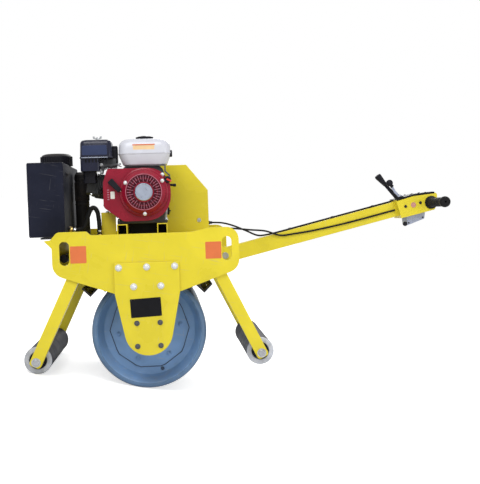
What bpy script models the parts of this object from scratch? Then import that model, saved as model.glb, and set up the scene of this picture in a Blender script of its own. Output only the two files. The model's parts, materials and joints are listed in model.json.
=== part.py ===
"""Walk-behind single-drum vibratory roller with an air-cooled engine and a folding handle.

Sizes are in metres. The machine is drawn level, with the drum's axis at the origin, +X towards
the handle and -Y to the operator's left. An empty then tips it forward until it rests on the
drum and the front support roller, which is how it stands when it is parked.
"""
import math

import bmesh
import bpy
from mathutils import Vector

# Clearances
GAP = 0.0003                # between pieces that touch
JOURNAL = 0.0006            # radial play of a turning journal
ROLLING_GAP = 0.006         # between a turning piece and its neighbours

# Drum
DRUM_RADIUS = 0.213
DRUM_WIDTH = 0.560
DRUM_SHELL = 0.014
DRUM_LIP = 0.018            # rounding of the shell's edges
DRUM_DISC_INSET = 0.075     # end disc below the rim
DRUM_DISC = 0.010
DRUM_DISC_RADIUS = 0.170    # flat part of the end disc
DRUM_HUB_RADIUS = 0.060
DRUM_HUB_HEIGHT = 0.010
DRUM_FACETS = 64

# Exciter shaft and its bearings
SHAFT_RADIUS = 0.0225
EXCITER_RADIUS = 0.045
EXCITER_LENGTH = 0.340
BEARING_BOSS_RADIUS = 0.050
BEARING_FLANGE = 0.116
BEARING_FLANGE_THICKNESS = 0.014

# Side plates
SIDE_SPACE = 0.072          # from the drum's end to a side plate
PLATE = 0.008
PLATE_HALF_LENGTH = 0.338
PLATE_TOP = 0.366
HUMP_TOP = 0.380
PLATE_BOTTOM = 0.151
PLATE_BOTTOM_HALF = 0.119
PLATE_END_BOTTOM = 0.227
PLATE_END_RADIUS = 0.050
SLOT_X = 0.2935
SLOT_Z = 0.3025
SLOT_WIDTH = 0.035
SLOT_HEIGHT = 0.087

# Fork plates
FORK = 0.010
FORK_TOP = 0.262
FORK_HALF_WIDTH = 0.118
FORK_SHOULDER = 0.150
FORK_FOOT_HALF_WIDTH = 0.0717
FORK_BOTTOM = -0.077
FORK_ROUND = 0.086

# Deck and cross plates
DECK = 0.006
DECK_TOP = 0.352
CROSS_PLATE = 0.008
FRONT_CROSS_X = -0.325      # front face
REAR_CROSS_X = 0.258        # rear face
FRONT_CROSS_BOTTOM = 0.246
REAR_CROSS_BOTTOM = 0.246

# Legs and support rollers
LEG = 0.044
LEG_WALL = 0.004
LEG_AT_PLATE = (0.270, 0.202)
LEG_ABOVE = 0.035
LEG_BELOW = 0.018
ROLLER_X = 0.410
ROLLER_Z = -0.088
ROLLER_RADIUS = 0.051
ROLLER_WALL = 0.007
ROLLER_SIDE_GAP = 0.012
ROLLER_RECESS = 0.010
ROLLER_RING = 0.032         # inner radius of the end ring
ROLLER_FACETS = 32
PIN_RADIUS = 0.010
PIN_HEAD_RADIUS = 0.013
PIN_HEAD = 0.008

# Scrapers
SCRAPER_X = 0.2065
SCRAPER_TIP = 0.1415
SCRAPER_ANGLE = 0.044
SCRAPER_STEEL = 0.005

# Water tank
TANK_FRONT_X = -0.425
TANK_LENGTH = 0.130
TANK_WIDTH = 0.580
TANK_BOTTOM = 0.362
TANK_HEIGHT = 0.298
TANK_WALL = 0.0025
TANK_NECK_RADIUS = 0.045
TANK_CAP_RADIUS = 0.063
TANK_CAP_HEIGHT = 0.033
TANK_BRACKET_STEEL = 0.006
TANK_BRACKET_DROP = 0.050

# Water pipe and hose
SPRINKLER_RADIUS = 0.015
SPRINKLER_Z = 0.282
SPRINKLER_LENGTH = 0.600
HOSE_RADIUS = 0.009

# Engine
RAIL_XS = (-0.092, 0.061)
RAIL_WIDTH = 0.040
RAIL_LENGTH = 0.270
RAIL_MIDDLE_Y = -0.030
RAIL_STEEL = 0.004
ENGINE_BASE = 0.400
CRANK_X = -0.005
CRANK_Z = 0.520
CRANKCASE_FRONT_Y = -0.108
CRANKCASE_REAR_Y = 0.070
RECOIL_DEPTH = 0.078
HEAD_TILT = math.radians(10)
HEAD_START = 0.102          # cylinder's foot from the crankshaft
HEAD_END = 0.226
HEAD_HALF_HEIGHT = 0.048
FUEL_TANK_BOTTOM = 0.624
FUEL_TANK_TOP = 0.722
AIR_CLEANER_TOP = 0.727
AIR_CLEANER_BOTTOM = 0.655
SILENCER_RADIUS = 0.028
SILENCER_HEIGHT = 0.262

# Belt guard
GUARD_SHEET = 0.003
GUARD_FRONT_X = -0.060
GUARD_REAR_X = 0.252
GUARD_NEAR_Y = 0.110
GUARD_WIDTH = 0.220
GUARD_TOP = 0.634
GUARD_CHAMFER_X = 0.166
GUARD_CHAMFER_Z = 0.527

# Handle
PIVOT_X = 0.306
HANDLE_SLOPE = math.radians(13.15)
HANDLE_TUBE = 0.060
HANDLE_WALL = 0.004
HANDLE_LINE = (0.366, 0.275)    # a point on the tube's middle line
HANDLE_TAIL = 0.024             # tube beyond the pivot
HANDLE_END_X = 1.050
HANDLE_PIN_RADIUS = 0.010
EAR = 0.010
HEAD_HALF_WIDTH = 0.060
HEAD_SHEET = 0.003
HEAD_COVER = 0.003
HEAD_LINE = ((1.001, 0.4596), (1.070, 0.478), (1.145, 0.486), (1.156, 0.4856))   # its top, for a 60 mm tube
BAR_X = 1.142
BAR_Z = 0.446
BAR_RADIUS = 0.0125
GRIP_RADIUS = 0.018
GRIP_FLANGE_RADIUS = 0.026
GRIP_LENGTH = 0.200
CABLE_RADIUS = 0.0035

# Worked out from the sizes above
DRUM_END = DRUM_WIDTH / 2
PLATE_INNER_Y = DRUM_END + SIDE_SPACE
PLATE_OUTER_Y = PLATE_INNER_Y + PLATE
FORK_INNER_Y = PLATE_OUTER_Y + GAP
FORK_OUTER_Y = FORK_INNER_Y + FORK
BETWEEN_Y = PLATE_INNER_Y - GAP
DISC_OUTER_Y = DRUM_END - DRUM_DISC_INSET
LEG_INNER_Y = BETWEEN_Y - LEG
ROLLER_END = LEG_INNER_Y - ROLLER_SIDE_GAP
TANK_REAR_X = TANK_FRONT_X + TANK_LENGTH
TANK_TOP = TANK_BOTTOM + TANK_HEIGHT
TANK_MIDDLE_X = TANK_FRONT_X + TANK_LENGTH / 2 + 0.012
RECOIL_REAR_Y = CRANKCASE_FRONT_Y - GAP
RECOIL_FRONT_Y = RECOIL_REAR_Y - RECOIL_DEPTH
HEAD_RISE = (HANDLE_TUBE - 0.060) / 2 * 1.05
PIVOT_Z = HANDLE_LINE[1] + (PIVOT_X - HANDLE_LINE[0]) * math.tan(HANDLE_SLOPE)


# ---------------------------------------------------------------- materials

def paint(name, colour, roughness, metallic=0.0):
    """A plain Principled material."""
    material = bpy.data.materials.new(name)
    material.use_nodes = True
    shader = material.node_tree.nodes["Principled BSDF"]
    shader.inputs["Base Color"].default_value = (*colour, 1.0)
    shader.inputs["Roughness"].default_value = roughness
    shader.inputs["Metallic"].default_value = metallic
    return material


def yellow_paint():
    return paint("yellow paint", (0.72, 0.60, 0.04), 0.35)


def blue_paint():
    return paint("blue-grey paint", (0.11, 0.22, 0.42), 0.45)


def black_paint():
    return paint("black paint", (0.02, 0.02, 0.03), 0.4)


def bare_steel():
    return paint("bare steel", (0.55, 0.56, 0.58), 0.35, 1.0)


def cast_aluminium():
    return paint("cast aluminium", (0.6, 0.61, 0.63), 0.5, 0.9)


def crimson_paint():
    return paint("crimson paint", (0.33, 0.01, 0.03), 0.3)


def white_paint():
    return paint("white paint", (0.72, 0.73, 0.76), 0.3)


def black_plastic():
    return paint("black plastic", (0.015, 0.015, 0.025), 0.45)


def black_rubber():
    return paint("black rubber", (0.015, 0.015, 0.015), 0.8)


# ---------------------------------------------------------------- shapes

def add_object(name, bm, material, parent, smooth=False):
    """Makes an object of a bmesh, with its faces pointing out."""
    bmesh.ops.recalc_face_normals(bm, faces=bm.faces)
    mesh = bpy.data.meshes.new(name)
    bm.to_mesh(mesh)
    bm.free()
    if smooth:
        mesh.shade_smooth()
        mesh.set_sharp_from_angle(angle=math.radians(35))
    mesh.materials.append(material)
    piece = bpy.data.objects.new(name, mesh)
    bpy.context.collection.objects.link(piece)
    piece.parent = parent
    return piece


def box_mesh(bm, x0, x1, y0, y1, z0, z1):
    """Adds a box between two corners."""
    size = Vector((x1 - x0, y1 - y0, z1 - z0))
    middle = Vector((x0 + x1, y0 + y1, z0 + z1)) / 2
    verts = bmesh.ops.create_cube(bm, size=1.0)["verts"]
    for vert in verts:
        vert.co = Vector(a * b for a, b in zip(vert.co, size)) + middle
    return verts


def box(name, corners, material, parent, rounding=0.0):
    """A box object, with its edges rounded where a radius is given."""
    bm = bmesh.new()
    box_mesh(bm, *corners)
    if rounding:
        bmesh.ops.bevel(bm, geom=bm.edges[:], offset=rounding, segments=3, profile=0.5, affect="EDGES")
    return add_object(name, bm, material, parent, smooth=bool(rounding))


def rounded(corners, step=math.radians(15)):
    """Turns corners (a, b, radius) into an outline with an arc at each corner that has a radius."""
    outline = []
    count = len(corners)
    for index, (a, b, radius) in enumerate(corners):
        corner = Vector((a, b))
        if radius <= 0:
            outline.append(corner)
            continue
        before = (Vector(corners[index - 1][:2]) - corner).normalized()
        after = (Vector(corners[(index + 1) % count][:2]) - corner).normalized()
        half = before.angle(after) / 2
        reach = radius / math.tan(half)
        centre = corner + (before + after).normalized() * (radius / math.sin(half))
        first = corner + before * reach - centre
        last = corner + after * reach - centre
        sweep = first.angle_signed(last)
        pieces = max(2, math.ceil(abs(sweep) / step))
        for k in range(pieces + 1):
            turn = -sweep * k / pieces
            cos, sin = math.cos(turn), math.sin(turn)
            outline.append(centre + Vector((first.x * cos - first.y * sin, first.x * sin + first.y * cos)))
    return [(point.x, point.y) for point in outline]


def extruded_mesh(bm, outline, y0, y1):
    """Adds an outline (x, z) drawn out between two values of y."""
    near = [bm.verts.new((x, y0, z)) for x, z in outline]
    far = [bm.verts.new((x, y1, z)) for x, z in outline]
    bm.faces.new(near)
    bm.faces.new(far[::-1])
    count = len(outline)
    for k in range(count):
        bm.faces.new((near[k], near[(k + 1) % count], far[(k + 1) % count], far[k]))


def plate(name, outline, y0, y1, material, parent, smooth=False):
    """A flat plate or a prism, standing across Y."""
    bm = bmesh.new()
    extruded_mesh(bm, outline, y0, y1)
    return add_object(name, bm, material, parent, smooth)


def turned_mesh(bm, profile, facets, start=0.0, closed=False, axis="Y", centre=(0.0, 0.0, 0.0)):
    """Adds a profile (radius, height) turned about an axis through centre."""
    rings = []
    for radius, height in profile:
        ring = []
        for k in range(facets):
            angle = start + 2 * math.pi * k / facets
            a, b = radius * math.cos(angle), radius * math.sin(angle)
            point = (a, height, b) if axis == "Y" else (a, b, height)
            ring.append(bm.verts.new(Vector(point) + Vector(centre)))
        rings.append(ring)
    pairs = list(zip(rings, rings[1:]))
    if closed:
        pairs.append((rings[-1], rings[0]))
    else:
        bm.faces.new(rings[0])
        bm.faces.new(rings[-1][::-1])
    for one, other in pairs:
        for k in range(facets):
            bm.faces.new((one[k], one[(k + 1) % facets], other[(k + 1) % facets], other[k]))


def turned(name, profile, material, parent, facets=32, **where):
    """A turned piece."""
    bm = bmesh.new()
    turned_mesh(bm, profile, facets, **where)
    return add_object(name, bm, material, parent, smooth=True)


def boolean(piece, other, operation):
    """Cuts a tool from a piece, or joins it on, and hides the tool."""
    other.hide_render = True
    other.display_type = "WIRE"
    other.name = f"{piece.name} tool"
    modifier = piece.modifiers.new(other.name, "BOOLEAN")
    modifier.operation = operation
    modifier.solver = "EXACT"
    modifier.object = other


def cut(piece, tool):
    boolean(piece, tool, "DIFFERENCE")


def join(piece, tool):
    boolean(piece, tool, "UNION")


def cut_bore(piece, x, z, radius, y0, y1, parent, facets=32):
    """Drills a round hole along Y."""
    cut(piece, turned("bore", [(radius, y0), (radius, y1)], piece.data.materials[0], parent,
                      facets, centre=(x, 0.0, z)))


def smooth_route(points, count):
    """Reads evenly spread points from a smooth curve through a route's own points."""
    points = [Vector(point) for point in points]
    ends = [2 * points[0] - points[1], *points, 2 * points[-1] - points[-2]]
    route = []
    spans = len(points) - 1
    for k in range(count):
        place = spans * k / (count - 1)
        span = min(int(place), spans - 1)
        t = place - span
        a, b, c, d = ends[span:span + 4]
        route.append(0.5 * (2 * b + (c - a) * t + (2 * a - 5 * b + 4 * c - d) * t * t
                            + (3 * b - a - 3 * c + d) * t ** 3))
    return route


def hose(name, points, radius, material, parent, count=50, sides=3):
    """A tube along a smooth route."""
    curve = bpy.data.curves.new(name, "CURVE")
    curve.dimensions = "3D"
    curve.bevel_depth = radius
    curve.bevel_resolution = sides
    curve.use_fill_caps = True
    route = smooth_route(points, count)
    spline = curve.splines.new("POLY")
    spline.points.add(len(route) - 1)
    for point, place in zip(spline.points, route):
        point.co = (*place, 1.0)
    curve.materials.append(material)
    piece = bpy.data.objects.new(name, curve)
    bpy.context.collection.objects.link(piece)
    piece.parent = parent
    return piece


def mirrored(outline):
    """The same outline at the other end of the machine."""
    return [(-x, z) for x, z in outline][::-1]


def band(y0, y1, side):
    """Two values of y, low one first, on the left (-1) or right (1) of the machine."""
    return (side * y0, side * y1) if side > 0 else (side * y1, side * y0)


# ---------------------------------------------------------------- drum

def lip(sign):
    """The shell's rounded edge, from its outside round to its inside."""
    arc = []
    for k in range(5):
        angle = math.radians(90 * k / 4)
        radius = DRUM_RADIUS - DRUM_LIP * (1 - math.cos(angle))
        height = DRUM_END - DRUM_LIP * (1 - math.sin(angle))
        arc.append((radius, sign * height))
    return arc


def drum_half(sign, bore):
    """One end of the drum's section: lip, dished recess, end disc and hub."""
    inside = DRUM_RADIUS - DRUM_SHELL
    hub_face = DISC_OUTER_Y + DRUM_HUB_HEIGHT
    disc_back = DISC_OUTER_Y - DRUM_DISC
    return lip(sign) + [
        (inside - 0.008, sign * (DRUM_END - 0.004)),
        (inside - 0.012, sign * (DRUM_END - 0.022)),
        (DRUM_DISC_RADIUS, sign * DISC_OUTER_Y),
        (DRUM_HUB_RADIUS, sign * DISC_OUTER_Y),
        (DRUM_HUB_RADIUS, sign * hub_face),
        (bore, sign * hub_face),
        (bore, sign * disc_back),
        (DRUM_DISC_RADIUS, sign * disc_back),
        (inside, sign * (disc_back + 0.030)),
    ]


def make_drum(machine, contact):
    """The hollow drum, on its own empty at the drum's axis."""
    bore = SHAFT_RADIUS + JOURNAL
    profile = drum_half(1, bore) + drum_half(-1, bore)[::-1]
    turned("drum", profile, blue_paint(), machine, DRUM_FACETS, start=contact, closed=True)


def make_exciter_shaft(machine):
    """The fixed shaft with the exciter's housing, which the drum turns on."""
    end = FORK_INNER_Y - BEARING_FLANGE_THICKNESS
    half = EXCITER_LENGTH / 2
    profile = [
        (SHAFT_RADIUS, -end), (SHAFT_RADIUS, -half), (EXCITER_RADIUS, -half),
        (EXCITER_RADIUS, half), (SHAFT_RADIUS, half), (SHAFT_RADIUS, end),
    ]
    turned("drum_axle", profile, bare_steel(), machine, 40)


def make_bearing(machine, side, word):
    """A flanged bearing housing, between a fork plate and the drum's end disc."""
    hub_face = DISC_OUTER_Y + DRUM_HUB_HEIGHT
    outer = FORK_INNER_Y - GAP
    flange = outer - BEARING_FLANGE_THICKNESS
    half = BEARING_FLANGE / 2
    corner = 0.012
    outline = rounded([(-half, -half, corner), (-half, half, corner), (half, half, corner), (half, -half, corner)])
    piece = plate(f"bearing_{word}", outline, *band(flange, outer, side), black_paint(), machine)
    boss = [(BEARING_BOSS_RADIUS, side * (hub_face + 0.010)), (BEARING_BOSS_RADIUS, side * (flange + 0.004))]
    join(piece, turned("boss", boss, black_paint(), machine, 40))
    cut_bore(piece, 0.0, 0.0, SHAFT_RADIUS + GAP, *band(hub_face, outer - 0.005, side), machine, 40)


# ---------------------------------------------------------------- frame

def side_plate_outline():
    """A side plate: flat in the middle, humped at its ends, with a horn under the tank."""
    half, end = PLATE_HALF_LENGTH, PLATE_END_RADIUS
    return rounded([
        (-0.197, PLATE_TOP, 0.010), (0.165, PLATE_TOP, 0.040), (0.235, HUMP_TOP, 0.040),
        (half, HUMP_TOP, 0.045), (half, PLATE_END_BOTTOM, end), (PLATE_BOTTOM_HALF, PLATE_BOTTOM, 0.0),
        (-PLATE_BOTTOM_HALF, PLATE_BOTTOM, 0.0), (-half, PLATE_END_BOTTOM, end),
        (-half, HUMP_TOP - 0.058, 0.010), (-half - 0.028, HUMP_TOP - 0.030, 0.002),
        (-half - 0.004, HUMP_TOP - 0.028, 0.012), (-half + 0.020, HUMP_TOP, 0.022),
        (-0.212, HUMP_TOP, 0.010),
    ])


def slot_outline(x):
    """A lifting slot with round ends."""
    w, h = SLOT_WIDTH / 2, SLOT_HEIGHT / 2
    r = w - 0.0001
    return rounded([(x - w, SLOT_Z - h, r), (x - w, SLOT_Z + h, r), (x + w, SLOT_Z + h, r), (x + w, SLOT_Z - h, r)])


def make_side_plate(machine, side, word):
    piece = plate(f"side_plate_{word}", side_plate_outline(), *band(PLATE_INNER_Y, PLATE_OUTER_Y, side),
                  yellow_paint(), machine)
    for x in (-SLOT_X, SLOT_X):
        tool = plate("slot", slot_outline(x), *band(PLATE_INNER_Y - 0.01, PLATE_OUTER_Y + 0.01, side),
                     yellow_paint(), machine)
        cut(piece, tool)


def make_fork_plate(machine, side, word):
    """The plate that hangs from a side plate and carries the drum."""
    w, foot = FORK_HALF_WIDTH, FORK_FOOT_HALF_WIDTH
    outline = rounded([
        (-w, FORK_TOP, 0.004), (w, FORK_TOP, 0.004), (w, FORK_SHOULDER, 0.0),
        (foot, FORK_BOTTOM, FORK_ROUND), (-foot, FORK_BOTTOM, FORK_ROUND), (-w, FORK_SHOULDER, 0.0),
    ], step=math.radians(9))
    plate(f"fork_plate_{word}", outline, *band(FORK_INNER_Y, FORK_OUTER_Y, side), yellow_paint(), machine)


def make_cross_plates(machine):
    """The two plates across the frame, and the deck between them."""
    y = BETWEEN_Y
    box("front_cross_plate", (FRONT_CROSS_X, FRONT_CROSS_X + CROSS_PLATE, -y, y, FRONT_CROSS_BOTTOM, DECK_TOP),
        yellow_paint(), machine)
    box("rear_cross_plate", (REAR_CROSS_X - CROSS_PLATE, REAR_CROSS_X, -y, y, REAR_CROSS_BOTTOM, DECK_TOP),
        yellow_paint(), machine)
    box("engine_deck", (FRONT_CROSS_X + CROSS_PLATE + GAP, REAR_CROSS_X - CROSS_PLATE - GAP, -y, y,
                        DECK_TOP - DECK, DECK_TOP), yellow_paint(), machine)


def make_rail(machine, x, word):
    """A channel across the deck that lifts one side of the engine."""
    y0 = RAIL_MIDDLE_Y - RAIL_LENGTH / 2
    y1 = RAIL_MIDDLE_Y + RAIL_LENGTH / 2
    half = RAIL_WIDTH / 2
    low = DECK_TOP + GAP
    high = ENGINE_BASE - GAP
    steel = RAIL_STEEL
    outline = [(x - half, low), (x - half, high), (x + half, high), (x + half, low),
               (x + half - steel, low), (x + half - steel, high - steel),
               (x - half + steel, high - steel), (x - half + steel, low)]
    plate(f"engine_rail_{word}", outline, y0, y1, yellow_paint(), machine)


# ---------------------------------------------------------------- legs and support rollers

def leg_line():
    """A rear leg's pin, its direction up to the frame, and its length up to the side plate."""
    pin = Vector((ROLLER_X, ROLLER_Z))
    reach = Vector(LEG_AT_PLATE) - pin
    return pin, reach.normalized(), reach.length


def leg_outline(low, high, width, radius):
    """A stretch along a rear leg, from low to high above the pin, with its foot's corners rounded."""
    pin, up, _ = leg_line()
    across = Vector((up.y, -up.x)) * width / 2
    corners = []
    for place, sign, r in ((low, -1, radius), (high, -1, 0.0), (high, 1, 0.0), (low, 1, radius)):
        point = pin + up * place + across * sign
        corners.append((point.x, point.y, r))
    return rounded(corners)


def make_leg(machine, end, side, name):
    """A square tube, closed at its foot, with the hole for the roller's pin."""
    _, _, length = leg_line()
    shape = leg_outline(-LEG_BELOW, length + LEG_ABOVE, LEG, 0.012)
    hollow = leg_outline(LEG_WALL + PIN_HEAD_RADIUS, length + LEG_ABOVE + 0.02, LEG - 2 * LEG_WALL, 0.0)
    if end < 0:
        shape, hollow = mirrored(shape), mirrored(hollow)
    piece = plate(name, shape, *band(LEG_INNER_Y, BETWEEN_Y, side), yellow_paint(), machine)
    cut(piece, plate("hollow", hollow, *band(LEG_INNER_Y + LEG_WALL, BETWEEN_Y - LEG_WALL, side),
                     yellow_paint(), machine))
    cut_bore(piece, end * ROLLER_X, ROLLER_Z, PIN_RADIUS + GAP,
             *band(LEG_INNER_Y - 0.01, BETWEEN_Y + 0.01, side), machine, 24)


def make_roller(machine, end, word, contact):
    """A hollow support roller with a ring at each end."""
    bore = PIN_RADIUS + JOURNAL
    wall = ROLLER_RADIUS - ROLLER_WALL
    edge = 0.003
    back = ROLLER_END - ROLLER_RECESS
    half = [
        (ROLLER_RADIUS, ROLLER_END - edge), (ROLLER_RADIUS - edge, ROLLER_END), (ROLLER_RING, ROLLER_END),
        (ROLLER_RING, back), (bore + 0.008, back), (bore + 0.008, ROLLER_END + 0.004), (bore, ROLLER_END + 0.004),
        (bore, back - 0.008), (wall, back - 0.008),
    ]
    profile = half + [(radius, -y) for radius, y in half[::-1]]
    piece = turned(f"{word}_roller", profile, black_paint(), machine, ROLLER_FACETS, start=contact, closed=True)
    piece.location = (end * ROLLER_X, 0.0, ROLLER_Z)


def make_roller_axle(machine, end, word):
    """The pin that a support roller turns on, with a head outside each leg."""
    face = BETWEEN_Y + GAP
    head = face + PIN_HEAD
    profile = [
        (PIN_HEAD_RADIUS - 0.003, -head), (PIN_HEAD_RADIUS, -head + 0.003), (PIN_HEAD_RADIUS, -face),
        (PIN_RADIUS, -face), (PIN_RADIUS, face), (PIN_HEAD_RADIUS, face),
        (PIN_HEAD_RADIUS, head - 0.003), (PIN_HEAD_RADIUS - 0.003, head),
    ]
    turned(f"{word}_roller_axle", profile, bare_steel(), machine, 24, centre=(end * ROLLER_X, 0.0, ROLLER_Z))


def make_scraper(machine, end, word):
    """An angle bar, corner down, with a blade that ends just off the drum."""
    arm, steel = SCRAPER_ANGLE / math.sqrt(2), SCRAPER_STEEL * math.sqrt(2)
    x, z = SCRAPER_X, SCRAPER_TIP
    angle = [(x, z), (x - arm, z + arm), (x - arm + steel / 2, z + arm + steel / 2), (x, z + steel),
             (x + arm - steel / 2, z + arm + steel / 2), (x + arm, z + arm)]
    if end < 0:
        angle = mirrored(angle)
    piece = plate(f"{word}_scraper", angle, -BETWEEN_Y, BETWEEN_Y, black_paint(), machine)
    out = Vector((x - arm, z + arm)).normalized()
    across = Vector((out.y, -out.x)) * SCRAPER_STEEL / 2
    low = out * (DRUM_RADIUS + ROLLING_GAP)
    high = Vector((x - arm + steel / 2, z + arm)) + out * 0.001
    blade = [(low - across), (high - across), (high + across), (low + across)]
    blade = [(point.x, point.y) for point in blade]
    if end < 0:
        blade = mirrored(blade)
    join(piece, plate("blade", blade, -DRUM_END + 0.005, DRUM_END - 0.005, black_paint(), machine))


# ---------------------------------------------------------------- tank and water

def make_tank(machine):
    """The sheet-steel water tank, open at its filler neck, which the cap covers."""
    half = TANK_WIDTH / 2
    piece = box("water_tank", (TANK_FRONT_X, TANK_REAR_X, -half, half, TANK_BOTTOM, TANK_TOP),
                black_paint(), machine, 0.002)
    wall = TANK_WALL
    cut(piece, box("inside", (TANK_FRONT_X + wall, TANK_REAR_X - wall, -half + wall, half - wall,
                              TANK_BOTTOM + wall, TANK_TOP - wall), black_paint(), machine))
    neck = [(TANK_NECK_RADIUS, TANK_TOP - 0.02), (TANK_NECK_RADIUS, TANK_TOP + 0.02)]
    cut(piece, turned("neck", neck, black_paint(), machine, 32, axis="Z", centre=(TANK_MIDDLE_X, 0.0, 0.0)))


def make_tank_cap(machine):
    low, high = TANK_TOP + GAP, TANK_TOP + TANK_CAP_HEIGHT
    profile = [(TANK_CAP_RADIUS, low), (TANK_CAP_RADIUS, high - 0.012), (TANK_CAP_RADIUS - 0.006, high - 0.004),
               (TANK_CAP_RADIUS - 0.020, high)]
    turned("tank_cap", profile, black_plastic(), machine, 40, axis="Z", centre=(TANK_MIDDLE_X, 0.0, 0.0))


def make_tank_bracket(machine):
    """The angle bar on the front cross plate that carries the tank."""
    top = TANK_BOTTOM - GAP
    back = FRONT_CROSS_X - GAP
    steel = TANK_BRACKET_STEEL
    outline = [(back, top), (back, top - TANK_BRACKET_DROP), (back - steel, top - TANK_BRACKET_DROP),
               (back - steel, top - steel), (back - 0.052, top - steel), (back - 0.052, top)]
    plate("tank_bracket", outline, -BETWEEN_Y, BETWEEN_Y, black_paint(), machine)


def make_sprinkler(machine):
    """The water pipe behind the front cross plate."""
    half = SPRINKLER_LENGTH / 2
    x = FRONT_CROSS_X + CROSS_PLATE + GAP + SPRINKLER_RADIUS
    profile = [(SPRINKLER_RADIUS, -half), (SPRINKLER_RADIUS, half)]
    turned("sprinkler_bar", profile, black_plastic(), machine, 20, centre=(x, 0.0, SPRINKLER_Z))


def make_hose(machine):
    """The hose from the tank's outlet down to the deck."""
    y = -0.120
    points = [(TANK_REAR_X + 0.001, y, TANK_BOTTOM + 0.022), (TANK_REAR_X + 0.012, y, TANK_BOTTOM + 0.022),
              (TANK_REAR_X + 0.030, y, TANK_BOTTOM + 0.020),
              (-0.240, y, 0.392), (-0.225, y, 0.430), (-0.211, y, 0.461), (-0.198, y, 0.466), (-0.186, y, 0.448),
              (-0.181, y, 0.400), (-0.181, y, DECK_TOP + GAP)]
    hose("water_hose", points, HOSE_RADIUS, black_rubber(), machine, 24)


# ---------------------------------------------------------------- engine

def cylinder_point(along, up):
    """A point (x, z) along and above the cylinder's axis, from the crankshaft."""
    cos, sin = math.cos(HEAD_TILT), math.sin(HEAD_TILT)
    return (CRANK_X - along * cos + up * sin, CRANK_Z + along * sin + up * cos)


def make_crankcase(machine):
    """The crankcase with its feet and the stub of its output shaft."""
    near, far = CRANKCASE_FRONT_Y, CRANKCASE_REAR_Y
    foot, top = ENGINE_BASE + 0.012, FUEL_TANK_BOTTOM - GAP
    outline = rounded([
        (-0.112, ENGINE_BASE, 0.0), (-0.112, foot, 0.0), (-0.100, foot, 0.0),
        (*cylinder_point(HEAD_START - GAP, -HEAD_HALF_HEIGHT), 0.0),
        (*cylinder_point(HEAD_START - GAP, HEAD_HALF_HEIGHT), 0.0),
        (-0.080, top, 0.020), (0.070, top, 0.030), (0.088, 0.500, 0.030),
        (0.070, foot, 0.0), (0.082, foot, 0.0), (0.082, ENGINE_BASE, 0.0),
    ])
    piece = plate("engine_block", outline, near, far, cast_aluminium(), machine)
    shaft = [(0.0125, far - 0.004), (0.0125, GUARD_NEAR_Y - GAP)]
    join(piece, turned("shaft", shaft, bare_steel(), machine, 20, centre=(CRANK_X, 0.0, CRANK_Z)))


def make_cylinder_head(machine):
    """The finned cylinder and its head, lying towards the tank."""
    high = HEAD_HALF_HEIGHT
    outline = [cylinder_point(HEAD_START, -high), cylinder_point(HEAD_START, high),
               cylinder_point(HEAD_END, high), cylinder_point(HEAD_END, -high)]
    plate("cylinder_head", outline, -0.085, 0.045, cast_aluminium(), machine)


def recoil_outline(inset=0.0):
    """The fan housing, round to the right and squarer to the left."""
    left, right = -0.160 + inset, 0.098 - inset
    low, high = ENGINE_BASE + 0.010 + inset, 0.613 - inset
    return rounded([
        (left, 0.466, 0.020 - inset), (-0.086, low, 0.030 - inset), (right, low, 0.095 - inset),
        (right, high, 0.085 - inset), (-0.142 + inset / 2, high, 0.012 - inset), (left, 0.560, 0.020 - inset),
    ])


def make_recoil_cover(machine):
    """The fan housing with the rope starter's round cover, open towards the engine."""
    step, sheet = RECOIL_FRONT_Y + 0.036, 0.003
    centre = (CRANK_X, 0.0, CRANK_Z)
    piece = plate("recoil_cover", recoil_outline(), step, RECOIL_REAR_Y, crimson_paint(), machine, smooth=True)
    dome = [(0.070, RECOIL_FRONT_Y), (0.082, RECOIL_FRONT_Y + 0.010), (0.086, step + 0.004)]
    join(piece, turned("dome", dome, crimson_paint(), machine, 40, centre=centre))
    cut(piece, plate("inside", recoil_outline(sheet), step + sheet, RECOIL_REAR_Y + 0.02, crimson_paint(), machine))
    inside = [(0.072, RECOIL_FRONT_Y + sheet), (0.078, step + 0.010)]
    cut(piece, turned("dome inside", inside, crimson_paint(), machine, 40, centre=centre))


def make_starter_grip(machine):
    """The rope starter's grip, in front of the fan housing's upper left."""
    middle = Vector((-0.114, 0.548))
    up = Vector((math.cos(math.radians(133)), math.sin(math.radians(133))))
    across = Vector((up.y, -up.x))
    corners = []
    for along, side in ((-0.028, -0.009), (0.028, -0.0125), (0.028, 0.0125), (-0.028, 0.009)):
        point = middle + up * along + across * side
        corners.append((point.x, point.y, 0.004))
    face = RECOIL_FRONT_Y + 0.036 - GAP
    plate("starter_grip", rounded(corners), face - 0.020, face, black_plastic(), machine, smooth=True)


def make_fuel_tank(machine):
    """The pressed fuel tank, open at its filler neck, which the cap covers."""
    x0, x1, y0, y1 = -0.100, 0.105, -0.150, 0.020
    cap_x, cap_y, wall = 0.003, -0.065, 0.002
    piece = box("fuel_tank", (x0, x1, y0, y1, FUEL_TANK_BOTTOM, FUEL_TANK_TOP), white_paint(), machine, 0.022)
    cut(piece, box("inside", (x0 + wall, x1 - wall, y0 + wall, y1 - wall, FUEL_TANK_BOTTOM + wall, FUEL_TANK_TOP - wall),
                   white_paint(), machine, 0.020))
    neck = [(0.022, FUEL_TANK_TOP - 0.02), (0.022, FUEL_TANK_TOP + 0.02)]
    cut(piece, turned("neck", neck, white_paint(), machine, 24, axis="Z", centre=(cap_x, cap_y, 0.0)))
    low, high = FUEL_TANK_TOP + GAP, FUEL_TANK_TOP + 0.014
    cap = [(0.034, low), (0.034, high - 0.003), (0.028, high)]
    turned("fuel_cap", cap, black_plastic(), machine, 32, axis="Z", centre=(cap_x, cap_y, 0.0))


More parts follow.
